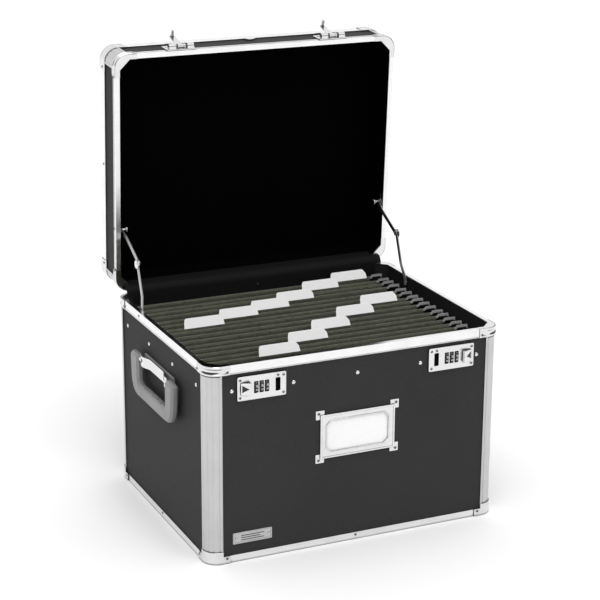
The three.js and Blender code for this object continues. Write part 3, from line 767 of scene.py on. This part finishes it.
def trim_screws():
    """Screws along the trims, between the corners."""
    base = [((0, s * HALF_D, 7), (0, s, 0)) for s in (-1, 1)]
    base += [((s * HALF_W, 0, 7), (s, 0, 0)) for s in (-1, 1)]
    screws("base_trim_screws", "case", base, radius=2)
    rim = [((s * HALF_W, 85, CASE_TOP - 6), (s, 0, 0)) for s in (-1, 1)]
    screws("case_rim_trim_screws", "case", rim, radius=1.8)
    lid = [((s * HALF_W, y, z), (s, 0, 0)) for s in (-1, 1) for y, z in ((-4, 340), (82, 293))]
    screws("lid_trim_screws", "lid", lid, 1.8, True)


# ---------------------------------------------------------------- combination locks
LOCK_X, LOCK_Z = 144, 251
LOCK_FRONT = -HALF_D - 2.3
LOCK_PLATE = 3.4
DIALS = {"inner": -7.4, "middle": 0.4, "outer": 8.2}
DIAL_RADIUS, DIAL_Y = 9, LOCK_FRONT + 7.4


def dial_wheel(x):
    """Bright ring of a dial, with raised flats and a groove between each two. It has no numbers."""
    flats, half_width = 9, 1.7
    outer, inner = DIAL_RADIUS, DIAL_RADIUS - 1.6
    outline = []
    for k in range(flats):
        for part, radius in ((-0.28, outer), (0.28, outer), (0.36, inner), (0.64, inner)):
            t = 2 * math.pi * (k + part) / flats
            outline.append((DIAL_Y + radius * math.sin(t), LOCK_Z + radius * math.cos(t)))
    return Shape().prism(outline, "x", x - half_width, x + half_width)


def painted_thumb_reflection(s):
    """Painted dark reflection: a three-cornered dark inlay on the sloping face of the thumb slide."""
    high_edge, low_edge, drop = 19.5, 31, 5.2
    front = box_mm("lock_thumb_left")[0].y
    rings = []
    for raised in (-0.12, 0.3):
        ring = []
        for u, v in ((29.6, 5.6), (29.6, -4.6), (20.6, 0.5)):
            slope = drop * (u - high_edge) / (low_edge - high_edge)
            ring.append((s * (LOCK_X + u), front + slope + raised, LOCK_Z + v))
        rings.append(ring)
    return Shape().loft(rings)


def lock_outline(u0, u1, half_height, corner):
    """A rectangle on the lock's face, between two distances from its middle."""
    return rectangle(LOCK_X + u0, LOCK_X + u1, LOCK_Z - half_height, LOCK_Z + half_height, corner)


def lock_face():
    """Plate with a slot for the hasp's tongue, a window for each dial and one for the thumb slide."""
    half_width, half_height = 35.5, 17
    plate = lock_outline(-half_width, half_width, half_height, 2)
    holes = [lock_outline(-27, -20, 9.3, 1)]
    holes += [lock_outline(offset - 3.1, offset + 3.1, 8.2, 0.8) for offset in DIALS.values()]
    holes.append(lock_outline(19, 31.5, 4.6, 1))
    return Shape().plate([plate, *holes], "y", LOCK_FRONT, LOCK_FRONT + LOCK_PLATE, 0.5)


def lock_housing():
    """Open box behind the plate, which the windows look into."""
    x0, x1, z0, z1 = LOCK_X - 28, LOCK_X + 33, LOCK_Z - 13.4, LOCK_Z + 13.4
    y0, y1, wall = LOCK_FRONT + LOCK_PLATE, -161, 1
    tray = Shape().box((x0, x1), (y1 - wall, y1), (z0, z1))
    for x in (x0, x1 - wall):
        tray.box((x, x + wall), (y0, y1 - wall), (z0, z1))
    for z in (z0, z1 - wall):
        tray.box((x0 + wall, x1 - wall), (y0, y1 - wall), (z, z + wall))
    return tray


def dials(side):
    """The wheels behind a lock's windows, each a bright ring round a dark drum. The ring sits 0.8 to the
    right on both locks, so the drum shows at the left of each window as painted shade.
    """
    drum_radius, half = DIAL_RADIUS - 1.4, 2.6
    for name, offset in DIALS.items():
        middle = SIDES[side] * (LOCK_X + offset)
        # Set to the right on both sides, leaving the dark drum bare at each window's left: painted shade.
        wheel = dial_wheel(middle + 0.8)
        drum = Shape().rod("x", (DIAL_Y, LOCK_Z), drum_radius, middle - half, middle + half, 30)
        node, body = f"lock_dial_{side}_{name}", f"dial_{side}_{name}"
        show(f"{node}_wheel", wheel, STEEL, body, edge=0.15, replaces=[node])
        show(f"{node}_drum", drum, BLACK_MOULDING, body)


def lock(side):
    s = SIDES[side]
    face, tray = on_side(side, lock_face(), lock_housing())
    show(f"lock_{side}_face", face, CHROME, "case", replaces=[f"lock_{side}"])
    show(f"lock_{side}_housing", tray, BLACK_MOULDING, "case")
    at_corners = [(-31.5, 12.5), (-31.5, -12.5), (31.8, 12.5), (31.8, -12.5)]
    over_slot = (-23.5, 13)
    placed = [((s * (LOCK_X + u), LOCK_FRONT, LOCK_Z + v), FRONT) for u, v in [*at_corners, over_slot]]
    screws(f"lock_{side}_screws", "case", placed, radius=2)
    refine(f"lock_thumb_{side}", CHROME, f"thumb_{side}", 0.6)
    # Painted dark reflection on the thumb slide's sloping face.
    show(f"lock_thumb_{side}_painted_dark", painted_thumb_reflection(s), BLACK_MOULDING, f"thumb_{side}")
    dials(side)


# ---------------------------------------------------------------- lid fittings
HASP_X = 120.5


def hasp_arm(side):
    """Strap with a barrel at its pivot and a tongue at its end, drawn latched and then folded back."""
    x, y, z = HASP_X, -HALF_D - 5.8, 291.5
    folded_back = Matrix.Rotation(-math.radians(168), 4, "X")
    front, tip, shoulder = y - 3, LOCK_Z + 1, LOCK_Z + 5
    arm = Shape().rod("x", (y, z), 3, x - 6, x + 6)
    outline = [(x - 5, z), (x - 5, shoulder), (x - 3, tip), (x + 3, tip), (x + 5, shoulder), (x + 5, z)]
    arm.plate([outline], "y", front, front + 1.7, 0.3)
    tongue = rectangle(x - 2, x + 2, LOCK_Z + 1.2, LOCK_Z + 6.4, 0.6)
    arm.plate([tongue], "y", front + 1, LOCK_FRONT + 5, 0.3)
    for u in (-4.6, 4.6):
        arm.rod("x", (y, z), 3.5, x + u - 0.9, x + u + 0.9)
    pivot = Vector((0, y, z))
    fold = Matrix.Translation(pivot) @ folded_back @ Matrix.Translation(-pivot)
    arm.points = [fold @ p for p in arm.points]
    [arm] = on_side(side, arm)
    show(f"hasp_arm_{side}_strap", arm, CHROME, f"hasp_{side}", lid=True, replaces=[f"hasp_arm_{side}"])


def lid_fittings():
    for side, s in SIDES.items():
        refine(f"hasp_plate_{side}", CHROME, "lid", 0.4)
        hasp_arm(side)
        placed = [((s * (HASP_X + u), -HALF_D - 1.8, 307), FRONT) for u in (-16, 16)]
        rivets(f"hasp_rivets_{side}", "lid", placed, True, radius=2)
    refine("lid_front_tab", CHROME, "lid", 0.5)


# ---------------------------------------------------------------- label holder and nameplate
LABEL_X, LABEL_Z = 0.6, 162.6
LABEL_HALF_W, LABEL_HALF_H = 57, 32
PANEL_FACE = -HALF_D + WALL_OUT


def chamfered(w, h, c):
    """Outline round the label's middle, half as wide as w and half as high as h, its corners cut by c."""
    upper_left = [(w - c, h), (-w + c, h), (-w, h - c), (-w, -h + c)]
    corners = upper_left + [(-u, -v) for u, v in upper_left]
    return [(LABEL_X + u, LABEL_Z + v) for u, v in corners]


def label_rectangle(inset):
    w, h = LABEL_HALF_W - inset, LABEL_HALF_H - inset
    return rectangle(LABEL_X - w, LABEL_X + w, LABEL_Z - h, LABEL_Z + h, 1)


def label():
    """Pressed label holder: a wide frame with a raised lip round its window and an ear at each corner."""
    outline, window = label_rectangle(0), chamfered(47, 22.5, 7)
    holder = Shape().plate([outline, window], "y", PANEL_FACE - 2.2, PANEL_FACE - 1.1, 0.4)
    holder.plate([chamfered(48.6, 24, 7.4), window], "y", PANEL_FACE - 3, PANEL_FACE - 1.4, 0.5)
    holder.plate([outline, label_rectangle(2.4)], "y", PANEL_FACE - 2.9, PANEL_FACE - 1.6, 0.4)
    half, ear_face = 6.5, PANEL_FACE - 1.2
    fixings = []
    for u in (-1, 1):
        for v in (-1, 1):
            x, z = LABEL_X + u * LABEL_HALF_W, LABEL_Z + v * LABEL_HALF_H
            ear = rectangle(x - half, x + half, z - half, z + half, 0.8)
            holder.plate([ear], "y", ear_face, PANEL_FACE, 0.3)
            fixings.append(((x + u * 2.2, ear_face, z + v * 2.2), FRONT))
    show("label_holder_frame", holder, CHROME, "case", replaces=["label_holder"], joins=False)
    screws("label_holder_screws", "case", fixings, radius=2.2)
    low, high = box_mm("label_card")
    card = Shape().plate([rectangle(low.x, high.x, low.z, high.z, 1)], "y", low.y, high.y, 0.1)
    show("label_card_insert", card, WHITE_CARD, "case", replaces=["label_card"])


def nameplate():
    """Plain plate with a raised border and a few ornamental lines in place of lettering."""
    low, high = box_mm("nameplate")
    plate = Shape().plate([rectangle(low.x, high.x, low.z, high.z, 1.5)], "y", low.y, high.y, 0.3)
    border = rectangle(low.x + 1, high.x - 1, low.z + 1, high.z - 1, 1)
    inside = rectangle(low.x + 2, high.x - 2, low.z + 2, high.z - 2, 0.8)
    plate.plate([border, inside], "y", low.y - 0.4, low.y + 0.1, 0.1)
    show("nameplate_plate", plate, SATIN, "case", replaces=["nameplate"], joins=False)
    bars = Shape()
    for k in range(3):
        z = low.z + 5 + 3.2 * k
        bars.box((low.x + 12, high.x - 12 - 6 * (k % 2)), (low.y - 0.2, low.y + 0.1), (z - 0.5, z + 0.5))
    show("nameplate_lines", bars, BLACK_MOULDING, "case")
    middle = (low.z + high.z) / 2
    placed = [((x, low.y, middle), FRONT) for x in (low.x + 5, high.x - 5)]
    rivets("nameplate_rivets", "case", placed, radius=1.5)


# ---------------------------------------------------------------- side handles
HANDLE_Z = 226
PIVOT_X = HALF_W + 9
GRIP_BAR_Z = HANDLE_Z - 37


def curve_between(start, control, end, steps=6):
    """Points along a bend from start to end, pulled towards control."""
    points = []
    for i in range(1, steps + 1):
        t = i / steps
        a, b, c = (1 - t) ** 2, 2 * t * (1 - t), t * t
        points.append(tuple(a * p + b * q + c * r for p, q, r in zip(start, control, end)))
    return points


def grip_outline():
    """Outline in (y, z): a leg end at each pivot, and a bar with rounded corners under them."""
    half, inner, bottom = 84.5, 55, HANDLE_Z - 57
    bar, end = GRIP_BAR_Z, HANDLE_Z + 5.7
    left = [(-inner - 3, end), (-half + 4, end), (-half, end - 4), (-half + 3, bottom + 26)]
    left += curve_between(left[-1], (-half + 6, bottom), (-half + 34, bottom), 12)
    inside = [(-inner, end - 3), (-inner, bar + 8)]
    inside += curve_between(inside[-1], (-inner, bar), (-inner + 8, bar))
    right = [(-y, z) for y, z in reversed(left)]
    inside_right = [(-y, z) for y, z in inside]
    return left + right + inside_right + inside[::-1]


def strap_bow():
    """Chrome strap with a pivot barrel at each end, where it stands out from the mount."""
    thick, wide, below_pivot = 2.4, 15.5, 1.5
    bow = [(-53.5, 9.2), (-44, 9.2), (-38, 7.6), (-30, 4.2), (-25, 3.6)]
    bow += [(-y, out) for y, out in reversed(bow)]
    path = [(HALF_W + out, y, HANDLE_Z - below_pivot) for y, out in bow]
    strap = Shape().strip(path, [(0, 0, 1)] * len(path), thick, wide)
    for end in (-1, 1):
        strap.rod("y", (PIVOT_X, HANDLE_Z), 3.4, *sorted((end * 46, end * 54.5)))
    return strap


def grip_ribs():
    """Low ribs across the top of the bar."""
    count, pitch, half_length = 9, 8, 4.2
    ribs = Shape()
    for k in range(count):
        y = pitch * (k - (count - 1) // 2)
        across = (PIVOT_X - half_length, PIVOT_X + half_length)
        ribs.box(across, (y - 1, y + 1), (GRIP_BAR_Z - 0.6, GRIP_BAR_Z + 0.5))
    return ribs


def handle(side):
    half_thick, bevel = 5.75, 3.4
    x0, x1 = PIVOT_X - half_thick, PIVOT_X + half_thick
    loop = Shape().plate([grip_outline()], "x", x0, x1, bevel, edge_steps=0)
    top, bottom = HANDLE_Z + 6.5, HANDLE_Z - 12
    outline = [(-60, bottom), (60, bottom), (57, top), (-57, top)]
    mount = Shape().plate([outline], "x", HALF_W - 1.2, HALF_W + 2.2, 0.9)
    loop, ribs, mount, bow = on_side(side, loop, grip_ribs(), mount, strap_bow())
    grip, body = f"handle_grip_{side}", f"grip_{side}"
    show(f"{grip}_loop", loop, GREY_MOULDING, body, replaces=[grip])
    show(f"{grip}_ribs", ribs, GREY_MOULDING, body, edge=0.3)
    show(f"handle_mount_{side}_plate", mount, GREY_MOULDING, "case", replaces=[f"handle_mount_{side}"])
    show(f"handle_strap_{side}_bow", bow, CHROME, "case", edge=0.4, replaces=[f"handle_strap_{side}"])


# ---------------------------------------------------------------- lid stays
STAY_CASE = Vector((0, 91.3, 274.3))
STAY_ELBOW = Vector((0, 119.7, 348.3))
STAY_LID = Vector((0, PIN.y - 94.8, PIN.z + 9.9))
LINK_HALF, EYE_RADIUS = 0.8, 4.6
WALL_X = HALF_W - LINING


def link(start, end, xs):
    """Flat bar from one pivot to the other, with x given at even steps along the way."""
    steps = len(xs) - 1
    path = [start.lerp(end, i / steps) + Vector((x, 0, 0)) for i, x in enumerate(xs)]
    along = path[-1] - path[0]
    across = Vector((0, -along.z, along.y)).normalized()
    wide = 7
    return Shape().strip(path, [across] * len(path), 2 * LINK_HALF, wide)


def lower_link():
    """Link from a boss on the case wall, bent inwards at its foot, up to an eye at the elbow."""
    x = 210.2
    shape = link(STAY_CASE, STAY_ELBOW, [WALL_X - 1, WALL_X - 1.4, 211.8] + [x] * 6)
    shape.rod("x", (STAY_CASE.y, STAY_CASE.z), 4.4, WALL_X - 2.6, WALL_X - 0.2)
    return shape.rod("x", (STAY_ELBOW.y, STAY_ELBOW.z), EYE_RADIUS, x - LINK_HALF, x + LINK_HALF)


def upper_link():
    """Link from an eye at the elbow, with a rivet head on it, up to the bracket on the lid."""
    x = 208.3
    elbow = (STAY_ELBOW.y, STAY_ELBOW.z)
    shape = link(STAY_ELBOW, OPEN_LID @ STAY_LID, [x] * 6 + [208.8, 210.5, 211.5])
    shape.rod("x", elbow, EYE_RADIUS, x - LINK_HALF, x + LINK_HALF)
    return shape.rod("x", elbow, 2.4, 206.4, 207.6)


def elbow_clip():
    """Pressed cap with two wings over the elbow."""
    along = (STAY_ELBOW - STAY_CASE).normalized()
    centre = STAY_ELBOW - along * 2 + Vector((212, 0, 0))
    clip = Shape().turned([(6.4, -0.8), (6.8, 0), (5.6, 0.9), (1.5, 1.1)], centre, (1, 0, 0), 20)
    wing = Vector((0, -along.z, along.y))
    for direction in (-1, 1):
        ends = [centre + wing * direction * 4, centre + wing * direction * 9 - Vector((1.5, 0, 0))]
        clip.strip(ends, [along, along], 1.2, 4.5)
    return clip


def lid_bracket():
    """Plate on the lid's lining with a stepped boss and the headed pin that the upper link turns on."""
    y, z = STAY_LID.y, STAY_LID.z
    bracket = Shape()
    for radius, low, high in ((7, WALL_X - 1.6, WALL_X - 0.3), (4.2, WALL_X - 2.4, WALL_X - 1.5)):
        bracket.rod("x", (y, z), radius, low, high, 24)
    bracket.rod("x", (y, z), 2.6, WALL_X - 11, WALL_X - 2, 16)
    bracket.turned([(3, 0), (5, 0.8), (5, 2.2), (2.5, 3)], (WALL_X - 10, y, z), LEFT)
    return bracket.box((WALL_X - 1.5, WALL_X - 0.3), (y - 12, y + 3), (z - 3.5, z + 14))


def stay(side):
    lower, clip, upper, bracket = on_side(side, lower_link(), elbow_clip(), upper_link(), lid_bracket())
    low_body, high_body = f"stay_lower_{side}", f"stay_upper_{side}"
    show(f"{low_body}_link", lower, STEEL, low_body, edge=0.4, replaces=[low_body])
    show(f"{low_body}_clip", clip, CHROME, low_body, edge=0.3)
    show(f"{high_body}_link", upper, STEEL, high_body, edge=0.4, replaces=[high_body])
    show(f"stay_bracket_{side}", bracket, CHROME, "lid", lid=True, edge=0.4)


# ---------------------------------------------------------------- hanging files
FILES = {"count": 16, "half": 191, "shift": -4.5, "top": 268.5}
TAB_ROW_FRONT = ((2, -119), (4, -59), (6, -6), (8, 53), (10, 110))
TAB_ROW_BACK = ((10, -170), (11, -108), (12, -50), (13, 1), (15, 59), (16, 119))


def folder_rows():
    """Where each bar hangs: evenly spaced, give or take a little."""
    front, pitch, stray = -152, 19.4, 2.6
    return [front + i * pitch + random.uniform(-stray, stray) for i in range(FILES["count"] + 1)]


def wavy_sheet(name, profile, phase, sway):
    """A sheet of card across the chest, following a (y, z) profile and bulging a little along it, in the
    olive card's darker copy, painted shade.
    """
    columns, card = 36, 0.45
    points = []
    for k, (y, z) in enumerate(profile):
        slack = math.sin(math.pi * k / (len(profile) - 1))
        for j in range(columns + 1):
            x = FILES["shift"] + FILES["half"] * (2 * j / columns - 1)
            bulge = sway * (0.25 + slack) * math.sin(phase + 5.2 * j / columns)
            points.append(Vector((x, y + bulge, z)))
    sheet = Shape().add(points, grid_faces(len(profile) - 1, columns))
    piece = show(name, sheet, OLIVE_PAINTED_SHADE, "files")
    thick = piece.modifiers.new("thickness", "SOLIDIFY")
    thick.thickness = card * MM
    thick.offset = 0


def folders():
    rows = folder_rows()
    half, top, fold = FILES["half"], FILES["top"], 33
    for i in range(FILES["count"]):
        front, back = rows[i] + 1.1, rows[i + 1] - 1.1
        middle = (front + back) / 2
        profile = [(front, top - 3.6), (front + 1, top - 60), (middle - 3, fold + 30), (middle, fold)]
        profile += [(middle + 3, fold + 30), (back - 1, top - 60), (back, top - 3.6)]
        wavy_sheet(f"folder_{i + 1}_card", profile, random.uniform(0, 6), 0.5)
    hems, flaps, slot_shades = Shape(), Shape(), Shape()
    for i, y in enumerate(rows):
        hem(hems, y, 1.3, top, 4.6, random.uniform(-1, 1))
        if i < FILES["count"]:
            behind = y + random.uniform(6, 11)
            hem(flaps, behind, 0.5, top - random.uniform(2, 5), 30, random.uniform(-3, 0))
        for k in range(8):
            x = -half + 30 + 46 * k + 7 * (i % 2)
            # Black bars on the hems stand for the tab slots: painted shade where the holes open onto the
            # dark behind.
            slot_shades.box((x - 0.6, x + 0.6), (y - 1.45, y - 1.25), (top - 4.2, top - 2.4))
    # Hems in the lighter olive copy, painted light. Cards and flaps in the darker copy, painted shade.
    show("folder_hems", hems, OLIVE_PAINTED_LIT, "files", edge=0.3, replaces=["hanging_files"], joins=False)
    show("folder_flaps", flaps, OLIVE_PAINTED_SHADE, "files", joins=False)
    show("folder_slots", slot_shades, BLACK_MOULDING, "files", joins=False)
    hooks(rows)
    tabs(rows)


def hem(shape, y, thick, top, depth, aside):
    """Upper edge of a sheet, rounded over at the top and moved a little to one side."""
    outline = [(y - thick, top - depth), (y - thick, top - 1.2), (y - thick / 2, top)]
    outline += [(y + thick / 2, top), (y + thick, top - 1.2), (y + thick, top - depth)]
    middle = FILES["shift"] + aside
    shape.prism(outline, "x", middle - FILES["half"], middle + FILES["half"])


def hooks(rows):
    """Flat bar ends past each folder, notched to sit over the rails' lips."""
    notch, end = 205.8, 207.6
    for side, s in SIDES.items():
        half = FILES["half"] + s * FILES["shift"]
        under = [(half - 8, 265), (half + 3, 265), (half + 5, 267.2), (notch, 267.2), (notch, 264.6)]
        over = [(end, 264.6), (end, 270.2), (end - 1, 270.8), (half + 4, 270.8)]
        over += [(half + 2, 268), (half - 8, 268)]
        shape = Shape()
        for y in rows:
            shape.prism([(s * x, z) for x, z in under + over], "y", y - 0.6, y + 0.6)
        show(f"folder_hooks_{side}", shape, HOOK_PAINT, "files", joins=False)


def tabs(rows):
    """White index tabs, leaning back, with rounded upper corners."""
    w, h, lean, thick = 62, 13.5, 0.42, 0.7
    outline = [(0, 0), (w, 0), (w - 1, h * 0.55), (w - 5, h - 1), (w - 7, h)]
    outline += [(4, h), (2.2, h - 1.4), (1, h * 0.6)]
    for number, (i, left) in enumerate(TAB_ROW_FRONT + TAB_ROW_BACK):
        y, z = rows[i] - 1.9, FILES["top"] - 1.5
        rings = [[(left + u, y + (lean * v + t), z + v) for u, v in outline] for t in (0, thick)]
        show(f"folder_tab_{number + 1}", Shape().loft(rings), WHITE_CARD, "files", edge=0.15)


# ---------------------------------------------------------------- hinge, rails
def hidden_metal():
    """The hinge and the file rails as the frame has them, with a row of rivets along each hinge leaf."""
    for name in ("hinge_leaf_case", "hinge_leaf_lid", "hinge_pin"):
        dress(name, STEEL)
    for side in SIDES:
        dress(f"file_rail_{side}", BLACK_MOULDING)
    for body, z in (("case", CASE_TOP - 14), ("lid", LID_BASE + 14)):
        placed = [((x, HALF_D + 1.3, z), BACK) for x in range(-170, 171, 68)]
        rivets(f"hinge_rivets_{body}", body, placed, body == "lid", radius=2.2)


# ---------------------------------------------------------------- camera, floor and light
CAMERA_MM = Vector((-1061.914, -2301.227, 1109.634))
CAMERA_YAW, CAMERA_PITCH, CAMERA_ROLL = (math.radians(a) for a in (24.638, 17.704, 0.364))


def camera():
    data = bpy.data.cameras.new("camera")
    data.lens = 110.814
    data.sensor_width = 36
    data.clip_end = 30
    eye = add_object("camera", data)
    yaw, pitch, roll = CAMERA_YAW, CAMERA_PITCH, CAMERA_ROLL
    level = math.cos(pitch)
    ahead = Vector((math.sin(yaw) * level, math.cos(yaw) * level, -math.sin(pitch)))
    right = Vector((math.cos(yaw), -math.sin(yaw), 0))
    up = right.cross(ahead)
    turned_right = math.cos(roll) * right + math.sin(roll) * up
    turned_up = -math.sin(roll) * right + math.cos(roll) * up
    axes = Matrix((turned_right, turned_up, -ahead)).transposed().to_4x4()
    eye.matrix_world = Matrix.Translation(CAMERA_MM * MM) @ axes
    bpy.context.scene.camera = eye


def floor():
    half = 40
    corners = [(-half, -half, 0), (half, -half, 0), (half, half, 0), (-half, half, 0)]
    mesh = bpy.data.meshes.new("floor")
    mesh.from_pydata(corners, [], [[0, 1, 2, 3]])
    look = Look("floor_mat", "floor", roughness=0.7, specular=0.0)
    look.colour(look.ramp(look.noise(3, 2), grey(0.94), grey(0.95)))
    mesh.materials.append(look.material)
    add_object("floor", mesh)


def sun_light(name, direction, spread, strength):
    """A very large soft light, the same everywhere on the floor."""
    data = bpy.data.lights.new(name, "SUN")
    data.angle = math.radians(spread)
    data.energy = strength
    lamp = add_object(name, data)
    lamp.rotation_euler = Vector(direction).to_track_quat("-Z", "Y").to_euler()


def studio_world():
    """White behind the chest and overhead. The room on the camera's side is dark up to head height."""
    near, overhead, behind = 0.15, 0.9, 1.02
    world = bpy.data.worlds.new("studio")
    world.use_nodes = True
    nodes, links = world.node_tree.nodes, world.node_tree.links
    split = nodes.new("ShaderNodeSeparateXYZ")
    links.new(nodes.new("ShaderNodeTexCoord").outputs["Generated"], split.inputs["Vector"])
    brighter = nodes.new("ShaderNodeMath")
    brighter.operation = "MAXIMUM"
    parts = (("Y", -0.15, 0.5, behind), ("Z", 0.2, 0.6, overhead))
    for socket, (axis, start, end, top) in zip(brighter.inputs, parts):
        spread = nodes.new("ShaderNodeMapRange")
        values = {"From Min": start, "From Max": end, "To Min": near, "To Max": top}
        for name, value in values.items():
            spread.inputs[name].default_value = value
        links.new(split.outputs[axis], spread.inputs["Value"])
        links.new(spread.outputs["Result"], socket)
    nodes["Background"].inputs["Color"].default_value = (1, 1, 1, 1)
    links.new(brighter.outputs["Value"], nodes["Background"].inputs["Strength"])
    bpy.context.scene.world = world


def lighting():
    studio_world()
    sun_light("key", (0.1, 0.5, -1.0), 45, 1.05)
    sun_light("fill", (-0.3, 0.6, -0.6), 70, 0.3)
    bpy.context.scene.view_settings.view_transform = "Standard"


def main():
    wall_panels()
    wall_rivets()
    linings()
    hinge_cover()
    corner_posts()
    frames()
    trim_beads()
    castings()
    trim_screws()
    for side in SIDES:
        lock(side)
        handle(side)
        stay(side)
    lid_fittings()
    label()
    nameplate()
    folders()
    hidden_metal()
    camera()
    floor()
    lighting()


main()
